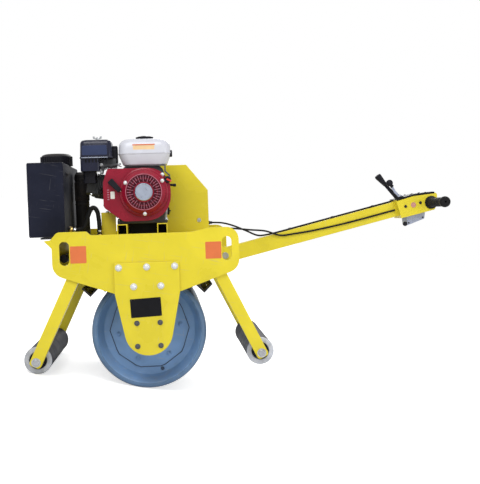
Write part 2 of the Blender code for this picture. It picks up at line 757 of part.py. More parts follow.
def make_air_cleaner(machine):
    """The air cleaner's case, on its narrower base."""
    base = cylinder_point(HEAD_END, HEAD_HALF_HEIGHT)[1] + GAP
    piece = box("air_cleaner", (-0.248, -0.117, -0.150, -0.015, AIR_CLEANER_BOTTOM, AIR_CLEANER_TOP),
                black_plastic(), machine, 0.008)
    join(piece, box("base", (-0.244, -0.170, -0.140, -0.025, base, AIR_CLEANER_BOTTOM + 0.002),
                    black_plastic(), machine))


def make_carburettor(machine):
    """The carburettor, between the air cleaner and the fuel tank, on its branch from the head."""
    top = AIR_CLEANER_BOTTOM - GAP
    low = cylinder_point(HEAD_START + 0.048, HEAD_HALF_HEIGHT)[1] + GAP
    piece = box("carburettor", (-0.1697, -0.1075, -0.105, -0.040, top - 0.037, top), cast_aluminium(), machine, 0.004)
    join(piece, box("branch", (-0.143, -0.118, -0.085, -0.060, low, top - 0.030), cast_aluminium(), machine))


def make_silencer(machine):
    """The upright silencer between the tank and the engine, with its pipe from the head."""
    x, y = TANK_REAR_X + 0.006 + SILENCER_RADIUS, 0.100
    low = DECK_TOP + GAP
    high = low + SILENCER_HEIGHT
    profile = [(SILENCER_RADIUS, low), (SILENCER_RADIUS, high - 0.010), (SILENCER_RADIUS - 0.008, high)]
    piece = turned("exhaust_silencer", profile, black_paint(), machine, 32, axis="Z", centre=(x, y, 0.0))
    pipe = [(0.014, 0.045 + GAP), (0.014, 0.085)]
    join(piece, turned("outlet", pipe, black_paint(), machine, 20, centre=(-0.190, 0.0, 0.555)))
    join(piece, box("elbow", (x, -0.176, y - 0.020, y + 0.012, 0.541, 0.569), black_paint(), machine))


def make_belt_guard(machine):
    """The folded guard over the belt drive, open below, with the shaft's hole."""
    low, sheet = DECK_TOP + GAP, GUARD_SHEET
    far = GUARD_NEAR_Y + GUARD_WIDTH

    def outline(inset, bottom):
        chamfer = inset * math.tan(math.radians(22.5))
        return [(GUARD_FRONT_X + inset, bottom), (GUARD_FRONT_X + inset, GUARD_TOP - inset),
                (GUARD_CHAMFER_X - chamfer, GUARD_TOP - inset), (GUARD_REAR_X - inset, GUARD_CHAMFER_Z - chamfer),
                (GUARD_REAR_X - inset, bottom)]

    piece = plate("belt_guard", outline(0.0, low), GUARD_NEAR_Y, far, yellow_paint(), machine)
    cut(piece, plate("inside", outline(sheet, low - 0.02), GUARD_NEAR_Y + sheet, far - sheet, yellow_paint(), machine))


# ---------------------------------------------------------------- handle

def handle_point(along, up):
    """A point (x, z) along and above the handle's middle line, from the pivot."""
    cos, sin = math.cos(HANDLE_SLOPE), math.sin(HANDLE_SLOPE)
    return (PIVOT_X + along * cos - up * sin, PIVOT_Z + along * sin + up * cos)


def handle_length():
    return (HANDLE_END_X - PIVOT_X) / math.cos(HANDLE_SLOPE)


def make_handle_tube(handle):
    half, wall, length = HANDLE_TUBE / 2, HANDLE_WALL, handle_length()

    def outline(inset, extra, tail):
        return rounded([(*handle_point(-HANDLE_TAIL - extra, -half + inset), tail),
                        (*handle_point(-HANDLE_TAIL - extra, half - inset), tail),
                        (*handle_point(length + extra, half - inset), 0.0),
                        (*handle_point(length + extra, -half + inset), 0.0)])

    piece = plate("handle_tube", outline(0.0, 0.0, HANDLE_TAIL), -half, half, yellow_paint(), handle)
    cut(piece, plate("inside", outline(wall, 0.02, 0.0), -half + wall, half - wall, yellow_paint(), handle))
    cut_bore(piece, PIVOT_X, PIVOT_Z, HANDLE_PIN_RADIUS + JOURNAL, -half - 0.01, half + 0.01, handle, 24)


def make_handle_bracket(machine):
    """Two ears on the rear cross plate, joined by the stop under the handle."""
    face = REAR_CROSS_X + GAP
    inner = HANDLE_TUBE / 2 + ROLLING_GAP
    outer = inner + EAR
    low = PIVOT_Z - HANDLE_TUBE / 2 - 0.020
    stop_top = [handle_point(0.021, -HANDLE_TUBE / 2 - GAP), handle_point(0.036, -HANDLE_TUBE / 2 - GAP)]
    ear = rounded([(face, low, 0.0), (face, PIVOT_Z + 0.045, 0.0), (PIVOT_X + 0.020, PIVOT_Z + 0.030, 0.020),
                   (PIVOT_X + 0.036, low, 0.006)])
    piece = plate("handle_bracket", ear, -outer, -inner, yellow_paint(), machine)
    join(piece, plate("ear", ear, inner, outer, yellow_paint(), machine))
    base = [(face, low), (face, low + 0.008), (stop_top[0][0] - 0.004, low + 0.008), stop_top[0], stop_top[1],
            (stop_top[1][0], low)]
    join(piece, plate("stop", base, -inner - 0.002, inner + 0.002, yellow_paint(), machine))
    cut_bore(piece, PIVOT_X, PIVOT_Z, HANDLE_PIN_RADIUS + GAP, -outer - 0.01, outer + 0.01, machine, 24)


def make_handle_pin(machine):
    face = HANDLE_TUBE / 2 + ROLLING_GAP + EAR + GAP
    head = face + PIN_HEAD
    profile = [(PIN_HEAD_RADIUS, -head), (PIN_HEAD_RADIUS, -face), (HANDLE_PIN_RADIUS, -face),
               (HANDLE_PIN_RADIUS, face), (PIN_HEAD_RADIUS, face), (PIN_HEAD_RADIUS, head)]
    turned("handle_pin", profile, bare_steel(), machine, 24, centre=(PIVOT_X, 0.0, PIVOT_Z))


def head_outline(inset=0.0, rise=0.0):
    """The head's side view. inset moves its walls in, rise lifts its top."""
    return rounded([
        (1.019 + inset, 0.386 + inset - HEAD_RISE, 0.0), (0.999 + inset, 0.459 + HEAD_RISE + rise, 0.0),
        (1.070, 0.478 + HEAD_RISE + rise, 0.0), (1.145, 0.486 + HEAD_RISE + rise, 0.0),
        (1.170 - inset, 0.485 + HEAD_RISE + rise, max(0.012 - inset, 0.0) if not rise else 0.0),
        (1.158 - inset, 0.417 + inset - HEAD_RISE, 0.010),
    ])


def make_handle_head(handle):
    """The sheet-metal head, open above, with holes for the tube and the grip bar."""
    half, sheet = HEAD_HALF_WIDTH, HEAD_SHEET
    piece = plate("handle_head", head_outline(), -half, half, yellow_paint(), handle)
    cut(piece, plate("inside", head_outline(sheet, 0.03), -half + sheet, half - sheet, yellow_paint(), handle))
    tube, length = HANDLE_TUBE / 2 + GAP, handle_length()
    passage = [handle_point(length - 0.09, -tube), handle_point(length - 0.09, tube),
               handle_point(length - 0.01, tube), handle_point(length - 0.01, -tube)]
    cut(piece, plate("passage", passage, -tube, tube, yellow_paint(), handle))
    cut_bore(piece, BAR_X, BAR_Z, BAR_RADIUS + GAP, -half - 0.01, half + 0.01, handle, 24)


def make_head_cover(handle):
    """The dark plate that closes the head's top."""
    half = HEAD_HALF_WIDTH - 0.001
    line = [(x, z + HEAD_RISE) for x, z in HEAD_LINE]
    outline = [(x, z + GAP) for x, z in line] + [(x, z + GAP + HEAD_COVER) for x, z in line[::-1]]
    plate("head_cover", outline, -half, half, black_plastic(), handle)


def make_grips(handle):
    """The grip bar through the head, with a rubber grip at each side."""
    start = HEAD_HALF_WIDTH + GAP
    end = start + GRIP_LENGTH
    bar = [(BAR_RADIUS, -end + 0.010), (BAR_RADIUS, end - 0.010)]
    turned("grip_bar", bar, bare_steel(), handle, 24, centre=(BAR_X, 0.0, BAR_Z))
    for side, word in ((-1, "left"), (1, "right")):
        bore = BAR_RADIUS + GAP
        flange, grip = GRIP_FLANGE_RADIUS, GRIP_RADIUS
        profile = [
            (bore, start), (flange, start), (flange, start + 0.006), (grip, start + 0.014), (grip, end - 0.030),
            (grip + 0.003, end - 0.018), (grip + 0.003, end - 0.006), (grip - 0.003, end), (0.004, end),
            (0.004, end - 0.008), (bore, end - 0.008),
        ]
        profile = [(radius, side * y) for radius, y in profile]
        turned(f"grip_{word}", profile, black_rubber(), handle, 32, closed=True, centre=(BAR_X, 0.0, BAR_Z))


def bar_outline(points, widths):
    """An outline along a bent flat bar, with a width at each point."""
    left, right = [], []
    count = len(points)
    for k in range(count):
        a = Vector(points[max(k - 1, 0)])
        b = Vector(points[min(k + 1, count - 1)])
        ahead = (b - a).normalized()
        across = Vector((-ahead.y, ahead.x)) * widths[k] / 2
        left.append(tuple(Vector(points[k]) + across))
        right.append(tuple(Vector(points[k]) - across))
    return left + right[::-1]


def lever_foot(x, half):
    """A lever's foot, flat on the sloping front of the head's cover."""
    (x0, z0), (x1, z1) = HEAD_LINE[:2]
    slope = (z1 - z0) / (x1 - x0)
    seat = z0 + (x - x0) * slope + HEAD_COVER + 2 * GAP
    return [(x - half, seat - half * slope), (x - half, seat + 0.010), (x + half, seat + 0.010),
            (x + half, seat + half * slope)]


def raised(outline):
    """An outline in xz, lifted with the head."""
    return [(x, z + HEAD_RISE) for x, z in outline]


def make_lever(handle, name, foot_x, points, widths, y):
    """A flat lever standing on its foot."""
    piece = plate(name, raised(bar_outline(points, widths)), y - 0.0025, y + 0.0025, bare_steel(), handle)
    join(piece, plate("foot", raised(lever_foot(foot_x, 0.009)), y - 0.006, y + 0.006, black_plastic(), handle))
    return piece


def make_levers(handle):
    """The drive lever with its tapered grip and the throttle lever with its ball."""
    piece = make_lever(handle, "drive_lever", 1.024, [(1.021, 0.4745), (0.990, 0.499), (0.962, 0.528)],
                       [0.010, 0.010, 0.010], -0.018)
    grip = bar_outline([(0.966, 0.523), (0.937, 0.560)], [0.013, 0.022])
    join(piece, plate("grip", raised(grip), -0.028, -0.008, black_plastic(), handle))
    piece = make_lever(handle, "throttle_lever", 1.018, [(1.016, 0.4735), (0.998, 0.493), (0.981, 0.523)],
                       [0.009, 0.009, 0.009], -0.047)
    radius = 0.0135
    ball = [(radius * math.cos(a), radius * math.sin(a)) for a in (math.radians(18 * k) for k in range(-4, 5))]
    join(piece, turned("ball", ball, black_plastic(), handle, 20, centre=(0.977, -0.047, 0.529 + HEAD_RISE)))


def make_control_box(handle):
    """The grey box under the head, with the round end of its lock."""
    slope = math.atan2(0.417 - 0.386, 1.158 - 1.019)
    cos, sin = math.cos(slope), math.sin(slope)
    corner = Vector((1.043, 0.386 - HEAD_RISE + (1.043 - 1.019) * sin / cos - GAP / cos))
    outline = []
    for along, down in ((0.0, 0.0), (0.080, 0.0), (0.080, 0.024), (0.0, 0.024)):
        outline.append((corner.x + along * cos + down * sin, corner.y + along * sin - down * cos))
    piece = plate("control_box", outline[::-1], -0.040, 0.040, bare_steel(), handle)
    knob = [(0.010, -0.036), (0.010, 0.036)]
    join(piece, turned("knob", knob, black_plastic(), handle, 20, centre=(1.045, 0.0, 0.369 - HEAD_RISE)))


def tube_top(x, above):
    """The height of a point above the handle tube's upper face."""
    return PIVOT_Z + (x - PIVOT_X) * math.tan(HANDLE_SLOPE) + (HANDLE_TUBE / 2 + above) / math.cos(HANDLE_SLOPE)


def make_cables(machine):
    """The two control cables, from the engine over the frame and along the handle to its head."""
    rest = CABLE_RADIUS + GAP
    top = -0.014
    side = -HANDLE_TUBE / 2 - rest
    throttle = [(GUARD_REAR_X + 0.0006, 0.140, 0.392), (0.270, 0.140, 0.392), (0.310, 0.112, 0.389),
                (0.350, 0.066, 0.377), (0.395, 0.020, 0.357)]
    for x, above in ((0.440, 0.013), (0.480, 0.0055)):
        throttle.append((x, top, tube_top(x, above)))
    for x in (0.530, 0.600, 0.680, 0.760, 0.860, 0.940, 0.9975):
        throttle.append((x, top, tube_top(x, rest)))
    hose("throttle_cable", throttle, CABLE_RADIUS, black_rubber(), machine, 52, 2)
    drive = [(0.120, -0.190, DECK_TOP + rest), (0.170, -0.172, DECK_TOP + 0.006), (0.230, -0.130, 0.366),
             (0.285, -0.090, 0.370), (0.340, -0.066, 0.368), (0.408, -0.052, 0.360), (0.470, -0.044, 0.353)]
    for x, below in ((0.530, 0.010), (0.590, 0.019), (0.660, 0.026), (0.760, 0.031), (0.860, 0.033), (0.940, 0.033)):
        drive.append((x, side - max(0.0, 0.600 - x) * 0.04, tube_top(x, -below)))
    drive.append((1.0, side, tube_top(1.0, -0.033)))
    hose("drive_cable", drive, CABLE_RADIUS, black_rubber(), machine, 52, 2)


# ---------------------------------------------------------------- the whole machine

def lean_angle():
    """How far the machine tips forward before its front roller reaches the ground."""
    reach = math.hypot(ROLLER_X, ROLLER_Z)
    return math.asin((DRUM_RADIUS - ROLLER_RADIUS) / reach) - math.atan2(-ROLLER_Z, ROLLER_X)


def add_empty(name, place, parent=None):
    empty = bpy.data.objects.new(name, None)
    empty.location = place
    empty.parent = parent
    bpy.context.collection.objects.link(empty)
    return empty


def make_frame(machine):
    for side, word in ((-1, "left"), (1, "right")):
        make_side_plate(machine, side, word)
        make_fork_plate(machine, side, word)
        make_bearing(machine, side, word)
        make_leg(machine, -1, side, f"front_leg_{word}")
        make_leg(machine, 1, side, f"rear_leg_{word}")
    make_cross_plates(machine)
    for x, word in zip(RAIL_XS, ("front", "rear")):
        make_rail(machine, x, word)
    for end, word in ((-1, "front"), (1, "rear")):
        make_roller_axle(machine, end, word)
        make_scraper(machine, end, word)
    make_exciter_shaft(machine)
    make_handle_bracket(machine)
    make_handle_pin(machine)


def make_engine(machine):
    make_crankcase(machine)
    make_cylinder_head(machine)
    make_recoil_cover(machine)
    make_starter_grip(machine)
    make_fuel_tank(machine)
    make_air_cleaner(machine)
    make_carburettor(machine)
    make_silencer(machine)
    make_belt_guard(machine)


def make_water(machine):
    make_tank(machine)
    make_tank_cap(machine)
    make_tank_bracket(machine)
    make_sprinkler(machine)
    make_hose(machine)


def make_handle(machine):
    """The handle's pieces hang on an empty at the pivot."""
    pivot = add_empty("handle pivot", (PIVOT_X, 0.0, PIVOT_Z), machine)
    handle = add_empty("handle", (-PIVOT_X, 0.0, -PIVOT_Z), pivot)
    make_handle_tube(handle)
    make_handle_head(handle)
    make_head_cover(handle)
    make_grips(handle)
    make_levers(handle)
    make_control_box(handle)
    make_cables(machine)


def stand_on_ground(machine):
    """Tips the machine onto its front roller, with the middle of its base at the origin."""
    machine.rotation_euler = (0.0, -lean_angle(), 0.0)
    bpy.context.view_layer.update()
    graph = bpy.context.evaluated_depsgraph_get()
    corners = []
    for piece in bpy.context.collection.objects:
        if piece.type == "EMPTY" or piece.hide_render:
            continue
        shape = piece.evaluated_get(graph)
        mesh = shape.to_mesh()
        corners += [piece.matrix_world @ vert.co for vert in mesh.vertices]
        shape.to_mesh_clear()
    low = [min(point[axis] for point in corners) for axis in range(3)]
    high = [max(point[axis] for point in corners) for axis in range(3)]
    machine.location = (-(low[0] + high[0]) / 2, -(low[1] + high[1]) / 2, -low[2])
    bpy.context.view_layer.update()


def main():
    for piece in list(bpy.data.objects):
        bpy.data.objects.remove(piece, do_unlink=True)
    machine = add_empty("machine", (0.0, 0.0, 0.0))
    contact = -math.pi / 2 - lean_angle()
    make_frame(machine)
    make_drum(machine, contact)
    make_roller(machine, -1, "front", contact)
    make_roller(machine, 1, "rear", contact)
    make_water(machine)
    make_engine(machine)
    make_handle(machine)
    stand_on_ground(machine)


main()
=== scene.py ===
"""Finished look of a walk-behind single-drum vibratory roller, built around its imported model.

Most pieces are drawn in the machine's level frame: the drum's axis is the origin, +X points to the
handle, +Y to the operator's right and +Z up. LEVEL_TO_WORLD then tips them as the machine stands.
"""
import json
import math

import bmesh
import bpy
from bpy.props import FloatProperty, FloatVectorProperty, IntProperty, PointerProperty
from mathutils import Matrix, Vector


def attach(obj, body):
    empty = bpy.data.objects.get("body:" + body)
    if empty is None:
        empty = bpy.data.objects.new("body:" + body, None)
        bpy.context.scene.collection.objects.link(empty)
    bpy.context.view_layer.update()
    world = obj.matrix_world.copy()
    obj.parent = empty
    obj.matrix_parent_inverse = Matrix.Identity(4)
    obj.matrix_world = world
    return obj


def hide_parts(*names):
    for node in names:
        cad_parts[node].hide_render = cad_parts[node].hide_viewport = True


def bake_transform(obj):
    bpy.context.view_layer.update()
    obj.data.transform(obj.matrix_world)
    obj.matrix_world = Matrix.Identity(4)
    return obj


bl_info = {
    "name": "Walk-behind roller",
    "version": (1, 0, 0),
    "blender": (4, 5, 0),
    "location": "3D View > Sidebar > Roller",
    "description": "Builds the finished pieces and materials of a walk-behind roller",
    "category": "Object",
}

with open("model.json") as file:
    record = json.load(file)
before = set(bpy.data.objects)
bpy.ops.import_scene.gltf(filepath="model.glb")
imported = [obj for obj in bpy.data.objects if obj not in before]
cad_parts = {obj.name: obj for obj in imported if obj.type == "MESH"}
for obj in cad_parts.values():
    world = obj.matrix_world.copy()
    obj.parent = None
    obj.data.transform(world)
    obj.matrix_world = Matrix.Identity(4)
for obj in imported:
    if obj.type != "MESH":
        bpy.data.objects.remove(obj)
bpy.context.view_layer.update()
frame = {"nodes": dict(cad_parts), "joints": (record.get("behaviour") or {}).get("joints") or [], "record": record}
NODES = frame["nodes"]
JOINT = {joint["name"]: joint for joint in frame["joints"]}
NODE_SLOT = {row["node"]: row["material_slot"] for row in frame["record"]["subparts"]}
NODE_BODY = {node: body for body, nodes in frame["record"]["behaviour"]["bodies"].items() for node in nodes}

DRUM_AXIS = Vector(JOINT["drum_spin"]["pos_m"])
FRONT_AXLE, REAR_AXLE = (Vector(JOINT[f"{word}_roller_spin"]["pos_m"]) for word in ("front", "rear"))
ALONG = (REAR_AXLE - FRONT_AXLE).normalized()
LEVEL_TO_WORLD = Matrix.Translation(DRUM_AXIS) @ Matrix(
    ((ALONG.x, 0, -ALONG.z), (0, 1, 0), (ALONG.z, 0, ALONG.x))).to_4x4()
WORLD_TO_LEVEL = LEVEL_TO_WORLD.inverted()


def level_box(node):
    """The lowest and highest corners of a node in the level frame."""
    points = [WORLD_TO_LEVEL @ vert.co for vert in NODES[node].data.vertices]
    low = Vector([min(p[k] for p in points) for k in range(3)])
    high = Vector([max(p[k] for p in points) for k in range(3)])
    return low, high


FORK_FACE = -level_box("fork_plate_left")[0].y
PLATE_FACE = -level_box("side_plate_left")[0].y
PLATE_BACK = -level_box("side_plate_left")[1].y
DECK_TOP = level_box("engine_deck")[1].z
ROLLER_AT = WORLD_TO_LEVEL @ REAR_AXLE
PIVOT = WORLD_TO_LEVEL @ Vector(JOINT["handle_fold"]["pos_m"])
HANDLE_SLOPE = math.radians(13.15)
TUBE_HALF = 0.030

# How far the drum's mantle and its lip reach in from the rim, and how deep its dish is. The band within LIP_DEPTH
# of the rim takes a darker copy of the drum paint as painted shade.
MANTLE_DEPTH = 0.0035
LIP_DEPTH = 0.020
DISH_DEPTH = 0.075
RING_APOTHEM, RING_SIDES = 0.1440, 10

# The drawn tank ends lower than its node, and its cap stands taller on it.
TANK_DROP = 0.024
CAP_DROP = 0.009

# The engine's shaft, and the step from the fan housing's face back to its flange.
SHAFT_X, SHAFT_Z = -0.005, 0.520
HOUSING_STEP = 0.036

# Keeps the same count of points on each of the fuel tank's rounded outlines.
CORNER_STEP = math.radians(8.7)

# A cable's size.
CABLE_RADIUS = 0.0035

# Heights of the handle head's upper edge, the grips' middle line, and the camera.
HEAD_TOP = ((1.001, 0.4596), (1.070, 0.478), (1.145, 0.486), (1.156, 0.4856))
GRIP_AT = (1.142, 0.446)
BALL = 0.0138
CAMERA_AT = (0.0755, -3.8108, 0.4349)
CAMERA_AXES = ((0.99642, -0.07805, -0.03239), (0.03480, 0.02973, 0.99895), (-0.07701, -0.99651, 0.03234))
CAMERA_LENS = 70.56


# ---------------------------------------------------------------- settings

def colour_setting(name, description, default):
    return FloatVectorProperty(name=name, description=description, subtype="COLOR", size=3, default=default,
                               min=0, max=1)


class RollerColours(bpy.types.PropertyGroup):
    """Colours of the machine's finishes, in linear light."""

    body: colour_setting("Body paint", "Plates, legs, guard and handle", (0.70, 0.58, 0.028))
    drum: colour_setting("Drum paint", "The drum and its end discs", (0.21, 0.37, 0.63))
    tank: colour_setting("Tank paint", "The water tank", (0.015, 0.017, 0.030))
    starter: colour_setting("Starter paint", "The fan housing", (0.27, 0.006, 0.026))
    fuel: colour_setting("Fuel tank paint", "The fuel tank", (0.60, 0.61, 0.67))
    sticker: colour_setting("Sticker", "Blank stickers by the lifting slots", (0.66, 0.15, 0.035))


class RollerDetail(bpy.types.PropertyGroup):
    """Sizes of the finer details."""

    edge: FloatProperty(name="Edge rounding", description="Rounding of sheet edges",
                        unit="LENGTH", default=0.0012, min=0.0002, max=0.004)
    facets: IntProperty(name="Drum facets", description="Facets round the drum", default=128, min=48, max=256)
    wear: FloatProperty(name="Edge wear", description="How much bare metal shows on edges",
                        subtype="FACTOR", default=0.5, min=0, max=1)
    dust: FloatProperty(name="Dust", description="How much dust lies on upward faces",
                        subtype="FACTOR", default=0.35, min=0, max=1)
    floor: FloatProperty(name="Floor radius", description="Radius of the studio floor",
                         unit="LENGTH", default=60.0, min=5, max=100)


# ---------------------------------------------------------------- shader groups

def add_node(tree, kind, inputs=None, **settings):
    """Adds a shader node, sets it up, and fills or links its inputs."""
    made = tree.nodes.new(kind)
    for key, value in settings.items():
        setattr(made, key, value)
    for socket, value in (inputs or {}).items():
        if isinstance(value, bpy.types.NodeSocket):
            tree.links.new(value, made.inputs[socket])
        else:
            made.inputs[socket].default_value = value
    return made


def math_node(tree, operation, a, b=0.0, clamp=False):
    return add_node(tree, "ShaderNodeMath", {0: a, 1: b}, operation=operation, use_clamp=clamp).outputs[0]


def range_node(tree, value, low, high, to_low=0.0, to_high=1.0):
    names = {"Value": value, "From Min": low, "From Max": high, "To Min": to_low, "To Max": to_high}
    return add_node(tree, "ShaderNodeMapRange", names).outputs[0]


def noise_node(tree, scale, detail=4.0, stretch=None, distortion=0.0):
    """Noise in the piece's own coordinates, per metre, stretched along its axes where asked."""
    place = add_node(tree, "ShaderNodeTexCoord").outputs["Object"]
    if stretch:
        place = add_node(tree, "ShaderNodeMapping", {"Vector": place, "Scale": stretch}).outputs[0]
    names = {"Vector": place, "Scale": scale, "Detail": detail, "Distortion": distortion}
    return add_node(tree, "ShaderNodeTexNoise", names).outputs["Fac"]


def new_group(name, inputs, outputs):
    """A shader group with float or colour sockets, and its input and output nodes."""
    group = bpy.data.node_groups.new(name, "ShaderNodeTree")
    for label, kind, default in inputs:
        socket = group.interface.new_socket(name=label, in_out="INPUT", socket_type=kind)
        socket.default_value = default
    for label, kind in outputs:
        group.interface.new_socket(name=label, in_out="OUTPUT", socket_type=kind)
    return group, add_node(group, "NodeGroupInput"), add_node(group, "NodeGroupOutput")


FLOAT, COLOUR = "NodeSocketFloat", "NodeSocketColor"


def build_mottle():
    """Slow drift of a colour between a darker and a lighter shade."""
    group, given, out = new_group("mottle", [("Colour", COLOUR, (0.5, 0.5, 0.5, 1)), ("Scale", FLOAT, 12.0),
                                             ("Amount", FLOAT, 0.2)], [("Colour", COLOUR), ("Value", FLOAT)])
    broad = noise_node(group, given.outputs["Scale"], 5.0, distortion=0.4)
    value = range_node(group, broad, 0.3, 0.7)
    dark = math_node(group, "SUBTRACT", 1.0, given.outputs["Amount"])
    light = math_node(group, "ADD", 1.0, math_node(group, "MULTIPLY", given.outputs["Amount"], 0.35))
    shade = add_node(group, "ShaderNodeMapRange", {"Value": value, "To Min": dark,
                                                   "To Max": light}).outputs[0]
    scaled = add_node(group, "ShaderNodeVectorMath", {0: given.outputs["Colour"], "Scale": shade},
                      operation="SCALE")
    group.links.new(scaled.outputs[0], out.inputs["Colour"])
    group.links.new(value, out.inputs["Value"])
    return group


def build_edge_wear():
    """Where edges are rubbed: the bent normal of an edge, broken up by noise."""
    group, given, out = new_group("edge wear", [("Amount", FLOAT, 0.5), ("Radius", FLOAT, 0.002),
                                                ("Scale", FLOAT, 60.0)], [("Mask", FLOAT)])
    bent = add_node(group, "ShaderNodeBevel", {"Radius": given.outputs["Radius"]}, samples=4).outputs[0]
    flat = add_node(group, "ShaderNodeNewGeometry").outputs["Normal"]
    along = add_node(group, "ShaderNodeVectorMath", {0: bent, 1: flat},
                     operation="DOT_PRODUCT").outputs["Value"]
    edge = range_node(group, along, 0.985, 0.80)
    breakup = range_node(group, noise_node(group, given.outputs["Scale"], 6.0), 0.44, 0.62)
    mask = math_node(group, "MULTIPLY", edge, breakup)
    mask = math_node(group, "MULTIPLY", mask, given.outputs["Amount"], clamp=True)
    group.links.new(mask, out.inputs["Mask"])
    return group


def build_dust():
    """Dust in patches, mostly on upward faces."""
    group, given, out = new_group("dust", [("Amount", FLOAT, 0.3), ("Scale", FLOAT, 18.0)], [("Mask", FLOAT)])
    normal = add_node(group, "ShaderNodeNewGeometry").outputs["Normal"]
    up = add_node(group, "ShaderNodeSeparateXYZ", {0: normal}).outputs["Z"]
    lying = range_node(group, up, 0.3, 1.0, 0.03, 1.0)
    patches = range_node(group, noise_node(group, given.outputs["Scale"], 8.0, distortion=0.6), 0.38, 0.72)
    mask = math_node(group, "MULTIPLY", lying, patches)
    mask = math_node(group, "MULTIPLY", mask, given.outputs["Amount"], clamp=True)
    group.links.new(mask, out.inputs["Mask"])
    return group


def build_grain():
    """Height of a fine surface: cast skin, moulded texture or the ripple of sprayed paint."""
    group, given, out = new_group("grain", [("Scale", FLOAT, 400.0), ("Pits", FLOAT, 0.3)],
                                  [("Height", FLOAT)])
    fine = noise_node(group, given.outputs["Scale"], 3.0)
    place = add_node(group, "ShaderNodeTexCoord").outputs["Object"]
    double = math_node(group, "MULTIPLY", given.outputs["Scale"], 0.6)
    cells = add_node(group, "ShaderNodeTexVoronoi", {"Vector": place, "Scale": double}).outputs["Distance"]
    pits = math_node(group, "MULTIPLY", cells, given.outputs["Pits"])
    group.links.new(math_node(group, "ADD", fine, pits), out.inputs["Height"])
    return group


def build_scratches():
    """Thin scuffs that run one way."""
    group, given, out = new_group("scratches", [("Amount", FLOAT, 0.3), ("Scale", FLOAT, 90.0)],
                                  [("Mask", FLOAT)])
    first = noise_node(group, given.outputs["Scale"], 2.0, stretch=(0.12, 1.0, 2.2))
    second = noise_node(group, given.outputs["Scale"], 2.0, stretch=(2.0, 1.0, 0.15))
    first = range_node(group, first, 0.66, 0.72)
    second = range_node(group, second, 0.68, 0.73)
    mask = math_node(group, "MULTIPLY", math_node(group, "MAXIMUM", first, second), given.outputs["Amount"],
                     clamp=True)
    group.links.new(mask, out.inputs["Mask"])
    return group


GROUPS = {}


def build_groups():
    for name, maker in (("mottle", build_mottle), ("edge wear", build_edge_wear), ("dust", build_dust),
                        ("grain", build_grain), ("scratches", build_scratches)):
        GROUPS[name] = maker()


def place_group(tree, name, **values):
    """Puts a shared group into a material with that material's own values."""
    made = tree.nodes.new("ShaderNodeGroup")
    made.node_tree = GROUPS[name]
    for label, value in values.items():
        made.inputs[label.capitalize()].default_value = value
    return made


# ---------------------------------------------------------------- materials

MATERIALS = {}
# A Mix node's colour sockets, which share their names with its float and vector sockets.
MIX_COLOUR_A, MIX_COLOUR_B, MIX_COLOUR = 6, 7, 2
DUST_COLOUR = (0.42, 0.38, 0.30, 1)
BARE_COLOUR = (0.32, 0.31, 0.30, 1)


def mixed(tree, low, high, factor):
    """One colour over another."""
    inputs = {"Factor": factor, MIX_COLOUR_A: low, MIX_COLOUR_B: high}
    return add_node(tree, "ShaderNodeMix", inputs, data_type="RGBA").outputs[MIX_COLOUR]


def finish(name, colour, rough, *, metal=0.0, mottle=0.15, patch=14.0, wear=0.0, wear_colour=BARE_COLOUR,
           dust=0.2, scuffs=0.0, grain=500.0, pits=0.2, bump=0.05, depth=0.0004, spread=0.12, coat=0.0,
           sheen=0.0, shine=0.5):
    """A finish built of the shared groups: drifting colour, worn edges, scuffs, dust and a fine surface."""
    material = bpy.data.materials.new(name)
    material.use_nodes = True
    tree = material.node_tree
    shader = tree.nodes["Principled BSDF"]
    shader.inputs["Metallic"].default_value = metal
    shader.inputs["Specular IOR Level"].default_value = shine
    shader.inputs["Coat Weight"].default_value = coat
    shader.inputs["Coat Roughness"].default_value = 0.12
    shader.inputs["Sheen Weight"].default_value = sheen
    base = place_group(tree, "mottle", scale=patch, amount=mottle)
    base.inputs["Colour"].default_value = (*colour, 1)
    shown = base.outputs["Colour"]
    roughness = range_node(tree, base.outputs["Value"], 0.0, 1.0, max(rough - spread / 2, 0.02),
                           rough + spread / 2)
    if scuffs:
        lines = place_group(tree, "scratches", amount=scuffs).outputs["Mask"]
        shown = mixed(tree, shown, wear_colour, lines)
        roughness = math_node(tree, "ADD", roughness, math_node(tree, "MULTIPLY", lines, 0.2), clamp=True)
    if wear:
        worn = place_group(tree, "edge wear", amount=wear).outputs["Mask"]
        shown = mixed(tree, shown, wear_colour, worn)
        if not metal:
            tree.links.new(math_node(tree, "MULTIPLY", worn, 0.7), shader.inputs["Metallic"])
    if dust:
        lying = place_group(tree, "dust", amount=dust).outputs["Mask"]
        shown = mixed(tree, shown, DUST_COLOUR, lying)
        roughness = math_node(tree, "ADD", roughness, math_node(tree, "MULTIPLY", lying, 0.5), clamp=True)
    height = place_group(tree, "grain", scale=grain, pits=pits).outputs["Height"]
    relief = add_node(tree, "ShaderNodeBump", {"Height": height, "Strength": bump, "Distance": depth})
    tree.links.new(shown, shader.inputs["Base Color"])
    tree.links.new(roughness, shader.inputs["Roughness"])
    tree.links.new(relief.outputs["Normal"], shader.inputs["Normal"])
    MATERIALS[name] = material
    return material


